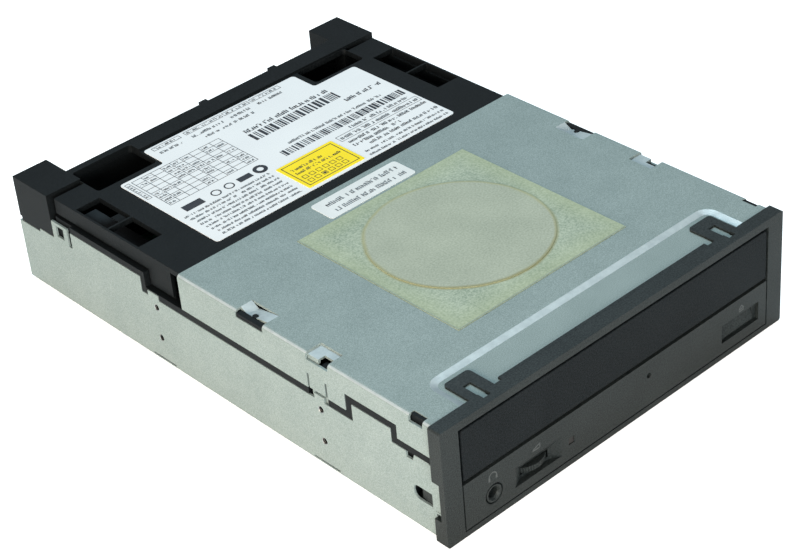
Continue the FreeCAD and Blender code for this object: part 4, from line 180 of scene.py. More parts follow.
# %% The grain
GRAIN_LOW, GRAIN_HIGH = 0.32, 0.68


def sample_points(tree, size):
    """Object coordinates, counted in steps of a size in millimetres."""
    coordinates = add_node(tree, "ShaderNodeTexCoord")
    scaled = add_node(tree, "ShaderNodeVectorMath", operation="SCALE")
    feed(tree, coordinates.outputs["Object"], scaled.inputs[0])
    feed(tree, maths(tree, "DIVIDE", MM_PER_METRE, size), scaled.inputs["Scale"])
    return scaled.outputs[0]


def make_fine_grain():
    group, entry, way_out = new_group(
        "fine_grain", [("Size mm", "float", 0.5), ("Detail", "float", 2.0)], [("Height", "float"), ("Mask", "float")])
    noise = add_node(group, "ShaderNodeTexNoise")
    noise.inputs["Scale"].default_value = 1.0
    feed(group, sample_points(group, entry.outputs["Size mm"]), noise.inputs["Vector"])
    feed(group, entry.outputs["Detail"], noise.inputs["Detail"])
    feed(group, noise.outputs["Fac"], way_out.inputs["Height"])
    feed(group, stretched(group, noise.outputs["Fac"], GRAIN_LOW, GRAIN_HIGH), way_out.inputs["Mask"])
    return group


FINE_GRAIN = make_fine_grain()
print("group:", FINE_GRAIN.name)

# %% [markdown]
# ### Drift of tone
# No large face of the drive has one tone: the zinc is mottled, the plastic has flow marks, the paper is a bit
# uneven. Painting that by hand would take a texture for each piece. Here the grain is placed twice, once wide
# for the slow drift and once small for the speckle, and together they choose between two tones.

# %% The drift
def make_tone_drift():
    group, entry, way_out = new_group(
        "tone_drift",
        [("Tone", "color", (0.5, 0.5, 0.5, 1)), ("Other tone", "color", (0.4, 0.4, 0.4, 1)),
         ("Size mm", "float", 20.0), ("Speckle mm", "float", 0.4), ("Speckle", "float", 0.3)],
        [("Color", "color"), ("Mask", "float")])
    given = entry.outputs
    slow = place_group(group, FINE_GRAIN, {"Size mm": given["Size mm"]})
    fast = place_group(group, FINE_GRAIN, {"Size mm": given["Speckle mm"]})
    speckle = maths(group, "MULTIPLY", fast.outputs["Mask"], given["Speckle"])
    calm = maths(group, "SUBTRACT", 1.0, given["Speckle"])
    mask = maths(group, "ADD", speckle, maths(group, "MULTIPLY", slow.outputs["Mask"], calm), clamp=True)
    feed(group, blended(group, mask, given["Tone"], given["Other tone"]), way_out.inputs["Color"])
    feed(group, mask, way_out.inputs["Mask"])
    return group


TONE_DRIFT = make_tone_drift()
print("group:", TONE_DRIFT.name)

# %% [markdown]
# ## Finishes
# Every finish on the drive is the same recipe with other amounts: two tones, a gloss that swings a little with
# them, and a bump from the grain. Each could be its own net, but one recipe keeps them alike and short.
# Values that are the same all over sit on the shader itself, and only what changes over the surface is linked.

# %% The common recipe
finishes = {}


def rgba(red, green, blue):
    return (red, green, blue, 1.0)


def fine_bump(tree, height, size):
    """A normal shaken by grain, with its height and size in millimetres."""
    grain = place_group(tree, FINE_GRAIN, {"Size mm": size})
    raised = add_node(tree, "ShaderNodeBump")
    raised.inputs["Strength"].default_value = 1.0
    raised.inputs["Distance"].default_value = height * MM
    feed(tree, grain.outputs["Height"], raised.inputs["Height"])
    return raised.outputs["Normal"]


def finish(name, tone, other, roughness, *, size, bump, speckle=0.3, speckle_mm=0.4, metallic=0.0,
           rough_swing=0.08, bump_mm=0.4, **shader_values):
    """A material of two tones; further values, such as Coat_Weight, go straight onto its shader."""
    material = bpy.data.materials.new(name)
    material.use_nodes = True
    tree = material.node_tree
    shader = tree.nodes["Principled BSDF"]
    drift = place_group(tree, TONE_DRIFT, {"Tone": rgba(*tone), "Other tone": rgba(*other), "Size mm": size,
                                           "Speckle mm": speckle_mm, "Speckle": speckle})
    feed(tree, drift.outputs["Color"], shader.inputs["Base Color"])
    if rough_swing:
        smoothest = roughness - rough_swing / 2
        roughness = maths(tree, "MULTIPLY_ADD", drift.outputs["Mask"], rough_swing, smoothest)
    feed(tree, roughness, shader.inputs["Roughness"])
    if bump:
        feed(tree, fine_bump(tree, bump, bump_mm), shader.inputs["Normal"])
    shader.inputs["Metallic"].default_value = metallic
    for socket, value in shader_values.items():
        shader.inputs[socket.replace("_", " ")].default_value = value
    finishes[name] = material
    return material


# %% [markdown]
# ### Zinc-plated sheet
# The tub and the lid are steel sheet with a thin coat of zinc, which is dull, grey-green and speckled.
# A fully metallic shader is the usual choice for metal, but in a white room it shines like chrome. This coat
# scatters most of its light, so it is mostly not metallic here, and a strong fine speckle makes its mottling.
# The faces that catch the light on the step, the tongues and the long bends get a brighter finish of their own, a
# painted highlight.

# %% Steel sheet
finish("zinc_steel", (0.300, 0.352, 0.342), (0.170, 0.215, 0.207), 0.62, size=11.0, speckle=0.85,
       speckle_mm=0.3, metallic=0.2, bump=0.016, bump_mm=0.45, Specular_IOR_Level=0.22)
# painted highlight: a brighter zinc for the faces that catch the light
finish("painted_highlight_steel", (0.42, 0.465, 0.47), (0.33, 0.37, 0.38), 0.46, size=3.0, metallic=0.3,
       bump=0.006, bump_mm=0.4)
print("finishes so far:", len(finishes))

# %% [markdown]
# ### Bare metal
# Rods, pins, screws and threads are small, smooth and uncoated. Grey paint with a gloss would pass from far
# off, but bare metal has hardly a colour of its own: it mirrors what is round it, tinted. That is what the
# metallic shader does, so here it is the right one, and the two tones are the tints of the metal.

# %% Rods, screws and pins
finish("bright_steel", (0.60, 0.60, 0.58), (0.48, 0.48, 0.47), 0.24, size=6.0, metallic=1.0,
       bump=0.002, bump_mm=0.3)
finish("screw_steel", (0.55, 0.54, 0.50), (0.40, 0.39, 0.37), 0.32, size=2.0, metallic=1.0,
       bump=0.004, bump_mm=0.2)
finish("brass", (0.80, 0.60, 0.28), (0.66, 0.47, 0.20), 0.25, size=3.0, metallic=1.0, bump=0.002)
print("finishes so far:", len(finishes))

# %% [markdown]
# ### Black mouldings
# The front, the tray's lid and the rear cover are moulded plastic with an eroded texture from the mould.
# Black alone would look like a hole in the picture. What the eye reads as black plastic is a very dark tone
# with lighter specks where the texture catches light, so the two tones lie far apart, with a deep fine bump.
# The lid of the tray is darker than the bezel round it, and the tray itself is a smoother dark grey, so each
# has its own amounts.

# %% Black and grey plastic
finish("black_plastic", (0.0015, 0.0025, 0.003), (0.0085, 0.010, 0.011), 0.5, size=14.0,
       speckle=0.8, speckle_mm=0.5, bump=0.07, bump_mm=0.4, Specular_IOR_Level=0.11)
finish("bezel_plastic", (0.004, 0.006, 0.006), (0.027, 0.032, 0.032), 0.46, size=14.0,
       speckle=0.85, speckle_mm=0.5, bump=0.09, bump_mm=0.4, Specular_IOR_Level=0.2)
finish("lid_plastic", (0.001, 0.002, 0.0025), (0.014, 0.017, 0.019), 0.46, size=14.0,
       speckle=0.85, speckle_mm=0.5, bump=0.09, bump_mm=0.4, Specular_IOR_Level=0.06)
finish("grey_plastic", (0.015, 0.017, 0.018), (0.025, 0.027, 0.029), 0.48, size=12.0, bump=0.01,
       Specular_IOR_Level=0.16)
print("finishes so far:", len(finishes))

# %% [markdown]
# ### Gears, belt, lens and lamp
# Inside, the gears are white nylon. Plain white paint looks chalky on them, because nylon lets a little light
# in, so they get some subsurface scatter. The belt is dull rubber. The lens is a coated glass bead, smooth
# all over, so it has no bump and one plain roughness. The lamp is dark until it is lit.

# %% Nylon, rubber, glass and lamp
finish("white_nylon", (0.70, 0.69, 0.64), (0.62, 0.61, 0.56), 0.38, size=6.0, bump=0.004,
       Subsurface_Weight=0.08, Subsurface_Scale=0.002)
finish("belt_rubber", (0.012, 0.012, 0.012), (0.022, 0.021, 0.02), 0.62, size=4.0, bump=0.01)
finish("lens_glass", (0.55, 0.66, 0.86), (0.5, 0.62, 0.84), 0.06, size=2.0, bump=0.0,
       rough_swing=0.0, Coat_Weight=1.0, Transmission_Weight=0.5)
finish("lamp_plastic", (0.008, 0.007, 0.007), (0.014, 0.012, 0.011), 0.3, size=1.0, bump=0.002,
       Specular_IOR_Level=0.3)
finish("ribbon_plastic", (0.62, 0.61, 0.56), (0.54, 0.53, 0.49), 0.4, size=3.0, bump=0.004)
print("finishes so far:", len(finishes))

# %% [markdown]
# ### Boards and chips
# A circuit board is glass cloth under green lacquer, with copper tracks that show through as a lighter green.
# Each track could be drawn, but the lid hides nearly all of the board, so the drift of tone stands for them
# and a thin coat stands for the lacquer. Chips are matt black resin, and the capacitors wear a dark blue
# sleeve.

# %% Board, chips and sleeves
finish("circuit_board", (0.004, 0.024, 0.013), (0.007, 0.036, 0.019), 0.36, size=3.0, speckle=0.35,
       speckle_mm=0.9, bump=0.02, bump_mm=0.9, Coat_Weight=0.15)
finish("chip_plastic", (0.018, 0.018, 0.02), (0.03, 0.03, 0.033), 0.5, size=3.0, bump=0.006,
       bump_mm=0.15)
finish("capacitor_sleeve", (0.008, 0.011, 0.022), (0.012, 0.015, 0.03), 0.4, size=2.0, bump=0.002,
       Specular_IOR_Level=0.2)
print("finishes so far:", len(finishes))

# %% [markdown]
# ### Paper and ink
# Label paper is smooth and a little off white. White paper is never written as 1.0 here: it would clip to a flat
# white under the lamps and lose its print, so its tones stay near 0.75. Ink lies too thin to have
# a bump of its own. The signs moulded into the front are a shade lighter than the plastic: a painted highlight.

# %% Papers
finish("paper", (0.755, 0.75, 0.75), (0.705, 0.70, 0.705), 0.5, size=18.0, speckle=0.4, bump=0.004,
       bump_mm=0.3, Specular_IOR_Level=0.3)
finish("thin_paper", (0.70, 0.705, 0.695), (0.625, 0.63, 0.62), 0.5, size=8.0, bump=0.004,
       bump_mm=0.3, Specular_IOR_Level=0.3)
finish("yellow_paper", (0.92, 0.70, 0.006), (0.85, 0.63, 0.005), 0.45, size=8.0, bump=0.004,
       bump_mm=0.3, Specular_IOR_Level=0.3)
print("finishes so far:", len(finishes))

# %% Inks and thin marks
finish("film_edge", (0.17, 0.215, 0.20), (0.24, 0.28, 0.25), 0.5, size=3.0, bump=0.0)
finish("ink", (0.02, 0.022, 0.03), (0.04, 0.042, 0.05), 0.5, size=4.0, bump=0.0, Specular_IOR_Level=0.2)
# painted highlight: the raised signs on the front, a shade lighter than the plastic
finish("painted_sign_highlight", (0.04, 0.045, 0.044), (0.055, 0.06, 0.059), 0.4, size=1.0, bump=0.0)
finish("grey_ink", (0.13, 0.14, 0.15), (0.17, 0.18, 0.19), 0.5, size=2.0, bump=0.0)
print("finishes so far:", len(finishes))

# %% [markdown]
# ## The film over the round embossing
# A square of clear film lies over a shallow round embossing in the lid. Its glue has yellowed towards the
# edges, and a thin brown line of it has gathered round the embossing. The stains could be painted, but they
# have simple shapes: one follows the distance to the square's edge, the other the distance to a circle.
# So both are worked out from where a point lies, and shaken by noise so that no line looks drawn.

# %% Where a point of the film lies
FILM_CENTRE = spot(0.0, 67.7, 0.0)
WANDER_SCALE = 90.0


def film_places(group, wander_mm):
    """Millimetres across and along from the film's centre, and a shake for any distance."""
    coordinates = add_node(group, "ShaderNodeTexCoord")
    centred = add_node(group, "ShaderNodeVectorMath", operation="SUBTRACT")
    feed(group, coordinates.outputs["Object"], centred.inputs[0])
    feed(group, FILM_CENTRE, centred.inputs[1])
    apart = add_node(group, "ShaderNodeSeparateXYZ")
    feed(group, centred.outputs[0], apart.inputs[0])
    across = maths(group, "MULTIPLY", apart.outputs["X"], MM_PER_METRE)
    along = maths(group, "MULTIPLY", apart.outputs["Y"], MM_PER_METRE)
    wander = add_node(group, "ShaderNodeTexNoise")
    wander.inputs["Scale"].default_value = WANDER_SCALE
    feed(group, centred.outputs[0], wander.inputs["Vector"])
    shake = maths(group, "MULTIPLY", maths(group, "SUBTRACT", wander.outputs["Fac"], 0.5), wander_mm)
    return across, along, shake


# %% Masks for the circle
GLUE_RADIUS, GLUE_WIDTH, DISH_RADIUS = 30.1, 1.0, 30.0


def circle_masks(group, across, along, shake):
    """A soft ring at the line of glue, and everything inside it."""
    squares = maths(group, "ADD", maths(group, "POWER", across, 2.0), maths(group, "POWER", along, 2.0))
    radius = maths(group, "ADD", maths(group, "SQRT", squares), shake)
    off_line = maths(group, "ABSOLUTE", maths(group, "SUBTRACT", radius, GLUE_RADIUS))
    ring = maths(group, "SUBTRACT", 1.0, maths(group, "DIVIDE", off_line, GLUE_WIDTH), clamp=True)
    return ring, maths(group, "LESS_THAN", radius, DISH_RADIUS)


# %% Masks for the square
BORDER_START, BORDER_END = 27.0, 36.0
# painted shade: where the near side of the glue line is darkened, growing towards the front left corner
SHADE_START, SHADE_END = 10.0, -30.0
EDGE_SHAKE = 3.0
SHADE_SLANT = 0.5


def square_masks(group, across, along, shake):
    """The stained border, and the side towards the front left corner, which carries painted shade."""
    reach = maths(group, "MAXIMUM", maths(group, "ABSOLUTE", across), maths(group, "ABSOLUTE", along))
    reach = maths(group, "ADD", reach, maths(group, "MULTIPLY", shake, EDGE_SHAKE))
    slanted = maths(group, "ADD", along, maths(group, "MULTIPLY", across, SHADE_SLANT))
    return stretched(group, reach, BORDER_START, BORDER_END), stretched(group, slanted, SHADE_START, SHADE_END)


# %% The film's group of masks
def make_film_masks():
    labels = ("Ring", "Inside", "Border", "Shaded near side")
    group, entry, way_out = new_group(
        "film_masks", [("Wander mm", "float", 0.5)], [(label, "float") for label in labels])
    places = film_places(group, entry.outputs["Wander mm"])
    for label, mask in zip(labels, circle_masks(group, *places) + square_masks(group, *places)):
        feed(group, mask, way_out.inputs[label])
    return group


FILM_MASKS = make_film_masks()
print("group:", FILM_MASKS.name)

# %% [markdown]
# ### The film's finish
# The film is so thin that a see-through shader would only cost time: what shows is the tone of the lid through
# it, and the stains. So the film starts from a mottled zinc tone, and each stain is laid over it as a tint,
# as thin as its last number says. The last tint is no stain but painted shade, which darkens the line of glue on the
# near side.

# %% Tints over the film
film = finish("film", (0.43, 0.475, 0.37), (0.21, 0.26, 0.20), 0.6, size=13.0, speckle=0.72,
              speckle_mm=0.62, metallic=0.05, bump=0.012, bump_mm=0.5, Specular_IOR_Level=0.2)
film_tree = film.node_tree
film_base = film_tree.nodes["Principled BSDF"].inputs["Base Color"]
masks = place_group(film_tree, FILM_MASKS, {"Wander mm": 1.2}).outputs
shaded_ring = maths(film_tree, "MULTIPLY", masks["Ring"], masks["Shaded near side"])
film_tints = (
    (masks["Inside"], (0.37, 0.36, 0.295), 0.4),
    (masks["Border"], (0.345, 0.385, 0.225), 0.45),
    (masks["Ring"], (0.34, 0.325, 0.17), 0.75),
    # painted shade: the near side of the glue line, darker
    (shaded_ring, (0.17, 0.155, 0.075), 0.6),
)
tinted = film_base.links[0].from_socket
for mask, tint, amount in film_tints:
    tinted = blended(film_tree, maths(film_tree, "MULTIPLY", mask, amount), tinted, rgba(*tint))
feed(film_tree, tinted, film_base)
print("tints over the film:", len(film_tints))

# %% [markdown]
# ## Dressing the solids
# Each solid could be given its finish by hand, one after the other, and one would be forgotten. But the
# drive's record already says what each is made of, so one loop dresses them all and misses none.
# A few have a finish of their own: the parts of the front share one plastic, which is lighter than that of
# the rear cover, and the small label is a thinner paper that lets the lid show through.

# %% Give every solid its finish
own_finish = {
    "front_bezel": "bezel_plastic", "tray_lid": "lid_plastic", "eject_button": "bezel_plastic",
    "headphone_jack": "bezel_plastic", "volume_dial": "bezel_plastic", "small_label": "thin_paper",
}
for part in frame["record"]["subparts"]:
    solid = solids[part["node"]]
    solid.data.materials.clear()
    solid.data.materials.append(finishes[own_finish.get(part["node"], part["material_slot"])])
print("dressed solids:", len(solids))

# %% [markdown]
# ## Soft edges
# Moulded plastic and cut sheet never end in a perfect edge, and it is the thin bright line along an edge
# that makes a shape read. A bevel in the shader is quick, but it lives only in one renderer. A Bevel modifier
# on a copy of the solid gives real faces. Flat faces are merged first, because a bevel needs clean edges
# to follow, and the copy then stands for the solid.

# %% A clean copy of a solid
SAME_PLACE = 1e-6
FLAT_ENOUGH = math.radians(0.6)


def piece_from(mesh, name, material):
    """Turn a finished bmesh into an object of the scene."""
    data = bpy.data.meshes.new(name)
    mesh.to_mesh(data)
    mesh.free()
    data.materials.append(material)
    piece = bpy.data.objects.new(name, data)
    bpy.context.scene.collection.objects.link(piece)
    return piece


def clean_copy(name, node):
    """A copy of a solid's mesh with its flat faces merged."""
    mesh = bmesh.new()
    mesh.from_mesh(solids[node].data)
    before = len(mesh.faces)
    bmesh.ops.remove_doubles(mesh, verts=mesh.verts, dist=SAME_PLACE)
    bmesh.ops.dissolve_limit(mesh, angle_limit=FLAT_ENOUGH, verts=mesh.verts, edges=mesh.edges)
    print(name, "faces:", before, "merged to", len(mesh.faces))
    piece = piece_from(mesh, name, solids[node].data.materials[0])
    for face in piece.data.polygons:
        face.use_smooth = True
    return piece


# %% [markdown]
# ### The pressed step
# Near the front the lid has a step that is pressed less than a millimetre deep, with sides that slope gently.
# Smooth shading blurs edges as gentle as these. A sharper angle for the whole lid would bring them back and
# spoil every curve with them, so only the edges that lie on the step are marked sharp, by their place.

# %% Keep the step crisp
STEP_X, STEP_BACK, STEP_DEPTH = 62.4, 22.9, 1.0
LEVEL = 0.993
GENTLE_EDGE = math.radians(26.0)
ROOF = top_of("top_cover")


def crisp_step(piece):
    """Mark the gently tilted edges of the step as sharp."""
    kept = 0
    mesh = bmesh.new()
    mesh.from_mesh(piece.data)
    for edge in mesh.edges:
        middle = (edge.verts[0].co + edge.verts[1].co) / (2 * MM)
        in_plan = abs(middle.x) < STEP_X and middle.y + HALF_LENGTH < STEP_BACK
        if in_plan and middle.z > ROOF - STEP_DEPTH and len(edge.link_faces) == 2:
            level = [abs(face.normal.z) > LEVEL for face in edge.link_faces]
            if level[0] != level[1] and edge.calc_face_angle() < GENTLE_EDGE:
                edge.smooth = False
                kept += 1
    mesh.to_mesh(piece.data)
    mesh.free()
    print("edges of the step kept sharp:", kept)


# %% [markdown]
# ### Bevel, then even the shading
# The bevel comes first and only touches edges that turn by more than a set angle, so round parts keep their
# shape. Then sharp edges are marked, and a Weighted Normal modifier makes the large flat faces decide the
# shading, so that they stay flat up to the bevel. Both modifiers are applied, which leaves a plain mesh.

# %% Copies with softened edges
BEVEL_SEGMENTS = 2
BEVEL_ANGLE = math.radians(28.0)
SHARP_ANGLE = math.radians(50.0)


def softened(name, node, width):
    """A copy with bevelled edges, which stands for its solid and moves with it."""
    piece = clean_copy(name, node)
    bevel = piece.modifiers.new("soft_edge", "BEVEL")
    bevel.width = width * MM
    bevel.segments = BEVEL_SEGMENTS
    bevel.limit_method = "ANGLE"
    bevel.angle_limit = BEVEL_ANGLE
    bevel.use_clamp_overlap = True
    bevel.harden_normals = False
    even = piece.modifiers.new("flat_faces", "WEIGHTED_NORMAL")
    even.weight = 100
    even.keep_sharp = True
    bpy.context.view_layer.objects.active = piece
    piece.select_set(True)
    bpy.ops.object.modifier_apply(modifier=bevel.name)
    piece.data.set_sharp_from_angle(angle=SHARP_ANGLE)
    if node == "top_cover":
        crisp_step(piece)
    bpy.ops.object.modifier_apply(modifier=even.name)
    piece.select_set(False)
    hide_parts(node)
    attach(piece, solids[node]["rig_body"])
    return piece


# %% The ten pieces whose edges show
soft_edges = {
    "front_bezel": 0.28, "tray_lid": 0.3, "top_cover": 0.1, "rear_cover": 0.22, "bottom_chassis": 0.1,
    "main_frame": 0.16, "headphone_jack": 0.15, "eject_button": 0.25, "tray": 0.25, "clamp_bridge": 0.1,
}
softened_pieces = {node: softened(f"soft_{node}", node, width) for node, width in soft_edges.items()}
print("pieces with soft edges:", len(softened_pieces))

# %% [markdown]
# ## Painted highlights on the lid
# The step near the front, the tongues in the notches and the long bends of the lid catch the light, and
# their faces get the brighter finish as a painted highlight. Those faces could be picked by hand, once, and
# lost with the next change of the solid. Instead each kind is found by its place and its tilt.

# %% Faces of the step and the long bends
STEEPEST_SIDE = 0.75
BEND_X, BEND_DEPTH = 72.0, 1.2


def on_step(x, behind, z, normal):
    in_plan = abs(x) < STEP_X and behind < STEP_BACK
    return in_plan and z > ROOF - STEP_DEPTH and STEEPEST_SIDE < normal.z < LEVEL


def on_long_bend(x, behind, z, normal):
    tilted_outwards = abs(normal.x) > 0.35 and normal.z > 0.5 and abs(normal.y) < 0.1
    return abs(x) > BEND_X and z > ROOF - BEND_DEPTH and tilted_outwards


# %% Faces in the notches
TONGUE_X, TONGUE_BEHIND = (66.0, 70.8), (76.8, 89.4)
TAB_X, TAB_BEHIND, TAB_DEPTH = (65.0, 72.3), (47.6, 57.4), 0.6


def within(value, limits):
    return limits[0] < value < limits[1]


def on_tongue(x, behind, z, normal):
    bent_up_or_down = normal.z > 0.2 and abs(normal.y) > 0.08
    return within(abs(x), TONGUE_X) and within(behind, TONGUE_BEHIND) and bent_up_or_down


def on_inner_tab(x, behind, z, normal):
    in_plan = within(abs(x), TAB_X) and within(behind, TAB_BEHIND)
    return in_plan and z < ROOF - TAB_DEPTH and normal.z > 0.5


# %% Paint the highlight on these faces
def paint_highlight_faces(piece, tests):
    """Give the brighter finish, a painted highlight, to each face that passes one of the tests."""
    piece.data.materials.append(finishes["painted_highlight_steel"])
    count = 0
    for face in piece.data.polygons:
        place = face.center / MM
        if any(test(place.x, place.y + HALF_LENGTH, place.z, face.normal) for test in tests):
            face.material_index = 1
            count += 1
    return count


# painted highlight on the step, the tongues, the inner tabs and the long bends
highlighted = paint_highlight_faces(softened_pieces["top_cover"], (on_step, on_tongue, on_inner_tab, on_long_bend))
print("drawn faces on the lid:", highlighted)

# %% [markdown]
# ## Marks that lie on a surface
# Print, signs and the rim of the film are all flat and far thinner than anything in the solids. An image would
# be the usual way, but it needs a file and an unfolded surface. Here every mark is a small flat face, and all
# the marks of one finish lie in one mesh, one to three hundredths of a millimetre off the surface, so that
# the two never fight over which is in front.

# %% A sheet of flat marks
class Marks:
    """Flat marks of one finish, gathered into one mesh that rides on the drive."""

    def __init__(self, name, finish_name):
        self.name = name
        self.finish_name = finish_name
        self.mesh = bmesh.new()

    def patch(self, points):
        self.mesh.faces.new([self.mesh.verts.new(point) for point in points])

    def done(self, slot):
        bmesh.ops.recalc_face_normals(self.mesh, faces=self.mesh.faces)
        piece = piece_from(self.mesh, self.name, finishes[self.finish_name])
        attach(piece, "drive")
        print(self.name, "marks:", len(piece.data.polygons))


# %% [markdown]
# ### Print
# The labels carry tables, boxes, bars and lines of small print. None of it says anything here, so each line of
# print is a row of short strokes of uneven height, which is what small lettering looks like from a step away.
# A seeded source of luck makes the strokes differ, and makes them the same each time the lesson is run.

# %% Bars and boxes
class Print(Marks):
    """Marks of one ink on one level, in millimetres across and behind the bezel's face."""

    def __init__(self, name, level, ink, seed):
        super().__init__(name, ink)
        self.level = level
        self.luck = random.Random(seed)

    def bar(self, x0, y0, x1, y1):
        corners = ((x0, y0), (x1, y0), (x1, y1), (x0, y1))
        self.patch([spot(x, y, self.level) for x, y in corners])

    def box(self, x0, y0, x1, y1, line):
        self.bar(x0, y0, x1, y0 + line)
        self.bar(x0, y1 - line, x1, y1)
        self.bar(x0, y0, x0 + line, y1)
        self.bar(x1 - line, y0, x1, y1)


# %% A line of small print
STROKE_PITCH, STROKE_WIDTH, WORD_GAP = 0.36, 0.6, 1.3
WORD_LENGTHS, STROKE_HEIGHTS = (5, 16), (0.62, 1.0)
DASH_CHANCE, DASH_LEVELS, DASH_HEIGHT = 0.55, (0.0, 0.42, 0.8), 0.16


def words(paper, x0, x1, y, height, fullness=0.8):
    """A row of short strokes in word-long runs, some upright and some lying."""
    x = x0
    pitch = height * STROKE_PITCH
    while x < x1:
        for _ in range(paper.luck.randint(*WORD_LENGTHS)):
            if x > x1:
                break
            tall = height * paper.luck.uniform(*STROKE_HEIGHTS)
            if paper.luck.random() < fullness:
                paper.bar(x, y, x + pitch * STROKE_WIDTH, y + tall)
            if paper.luck.random() < DASH_CHANCE:
                rise = paper.luck.choice(DASH_LEVELS) * height
                paper.bar(x, y + rise, x + pitch, y + rise + height * DASH_HEIGHT)
            x += pitch
        x += pitch * WORD_GAP


# %% Code bars and rings
BAR_WIDTHS, GAP_WIDTHS = (1, 1, 1, 2, 3), (1, 1, 2, 2)
RING_TURNS = 28


def code_bars(paper, x0, x1, y0, y1, unit):
    """Upright bars and gaps, each a few units wide."""
    x = x0
    while x < x1 - unit:
        wide = unit * paper.luck.choice(BAR_WIDTHS)
        paper.bar(x, y0, min(x + wide, x1), y1)
        x += wide + unit * paper.luck.choice(GAP_WIDTHS)


def ring(paper, x, y, outer, inner):
    """A ring about a centre, from its outer to its inner radius."""
    angles = [2 * math.pi * step / RING_TURNS for step in range(RING_TURNS)]
    rows = [[paper.mesh.verts.new(spot(x + reach * math.cos(angle), y + reach * math.sin(angle), paper.level))
             for angle in angles] for reach in (outer, inner)]
    for step in range(RING_TURNS):
        after = (step + 1) % RING_TURNS
        paper.mesh.faces.new((rows[0][step], rows[0][after], rows[1][after], rows[1][step]))


# %% [markdown]
# ## The large label
# The large label lies on the flat deck of the rear cover. It carries a block of small print, a table, a row
# of boxes and two rows of code bars, and the numbers below say where each lies, read with the ruler.
# It could all be one long list of marks, but split into its parts, each can be changed and seen alone.
# `words` takes the left and right end of a line, its place behind the bezel's face and its height.

# %% The block of small print
INK_LIFT = 0.03
LINES, LINE_PITCH, LINE_SHIFT, SMALL_PRINT = 8, 2.35, 0.35, 1.15

label = Print("label_print", top_of("rating_label") + INK_LIFT, "ink", 4)
for row in range(LINES):
    words(label, -50.4 + LINE_SHIFT * row, -14.8, 142.1 - LINE_PITCH * row, SMALL_PRINT)
label.bar(-47.4, 145.0, -39.6, 148.6)
ring(label, -34.0, 146.8, 1.9, 1.4)
ring(label, -28.4, 146.8, 1.9, 1.4)
ring(label, -15.0, 147.0, 2.6, 1.2)
label.bar(-24.6, 145.4, -19.0, 148.2)
print("marks after the small print:", len(label.mesh.faces))

# %% The table
HALF_RULE, FILLED_CELLS = 0.1, 0.62
SIDE_LINES, SIDE_PITCH, FINE_LINE = 8, 1.4, 0.18
columns = [-48.5, -44.6, -40.6, -36.6, -32.6, -28.5, -24.4, -20.2, -15.6, -11.4]
rows = [152.3, 155.0, 157.6, 160.2, 162.9, 165.6, 168.3, 171.0, 173.6]
for x in columns:
    label.bar(x - HALF_RULE, rows[0], x + HALF_RULE, rows[-1])
for y in rows:
    label.bar(columns[0], y - HALF_RULE, columns[-1], y + HALF_RULE)
for y in rows[:-1]:
    for x in columns[:-1]:
        if label.luck.random() < FILLED_CELLS:
            words(label, x + 0.5, x + 3.3, y + 0.7, SMALL_PRINT)
label.box(-51.4, 160.8, -49.5, 173.8, FINE_LINE)
for row in range(SIDE_LINES):
    words(label, -51.0, -50.1, 161.9 + SIDE_PITCH * row, 0.9)
print("marks after the table:", len(label.mesh.faces))

# %% The row of boxes
for x0, x1 in ((-31.0, -19.2), (-17.2, -0.9), (-0.2, 11.2), (12.0, 25.4)):
    label.box(x0, 183.8, x1, 186.0, 0.2)
    words(label, x0 + 0.8, x1 - 0.8, 184.3, 1.2, 0.5)
    words(label, x0 + 0.6, x1 - 2.0, 180.6, 1.5, 0.6)
words(label, -14.0, 8.0, 177.2, 1.5, 0.7)
print("marks after the boxes:", len(label.mesh.faces))

# %% Code bars and their lines
code_bars(label, -3.6, 34.6, 162.2, 167.4, 0.42)
words(label, -3.0, 33.6, 168.6, 2.3)
words(label, 33.9, 50.6, 158.2, 2.2, 0.6)
code_bars(label, -3.8, 50.8, 146.4, 150.4, 0.34)
words(label, 2.0, 44.0, 151.9, 1.5)
label.box(14.4, 138.9, 51.4, 142.6, FINE_LINE)
words(label, 15.4, 50.4, 139.8, 1.7)
right_hand_lines = (
    (22.4, 49.2, 143.4, 1.7), (15.6, 50.8, 136.2, 1.7), (15.4, 36.0, 133.4, 1.7),
    (20.0, 50.8, 130.6, 1.7), (14.8, 51.2, 127.6, 1.2), (14.8, 51.0, 124.9, 1.2),
)
for start, end, behind, height in right_hand_lines:
    words(label, start, end, behind, height)
label.done("paper")

# %% [markdown]
# ## The yellow sticker
# A small yellow inspection sticker lies on the near edge of the large label: a thin frame, two rows of boxes
# to tick, and two lines of print. Its marks could be given by the ruler, as on the large label, but they only
# have to sit well inside the sticker. So they are measured from its own edges, and would follow if it moved.

# %% Marks on the sticker
def plan_of(node):
    """The left, near, right and far edges of a node, in millimetres."""
    (left, near, _), (right, far, _) = (Vector(corner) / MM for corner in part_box(node))
    return left, near + HALF_LENGTH, right, far + HALF_LENGTH


MARGIN, TICK_BOX, TICK_PITCH = 1.2, 2.0, 3.0

sticker = Print("sticker_print", top_of("notice_sticker") + INK_LIFT, "ink", 9)
left, near, right, far = plan_of("notice_sticker")
sticker.box(left + MARGIN, near + MARGIN, right - MARGIN, far - MARGIN, 0.3)
for row in range(2):
    for column in range(6):
        x, y = left + 2.7 + TICK_PITCH * column, near + 2.5 + TICK_PITCH * row
        sticker.box(x, y, x + TICK_BOX, y + TICK_BOX, 0.22)
sticker.bar(left + 9.2, near + 3.0, left + 10.2, near + 4.0)
for row in range(2):
    words(sticker, left + 2.7, right - 3.0 - 5.0 * row, near + 9.2 + 2.6 * row, 1.5)
sticker.done("yellow_paper")

# %% [markdown]
# ## The small label and the film's rim
# The small label on the lid has two lines in grey ink. The film beside it shows its cut edge only on the left
# and at the front, as a thin darker line. A step of the film's real thickness would be too low to
# show, so the line is a mark like the others.

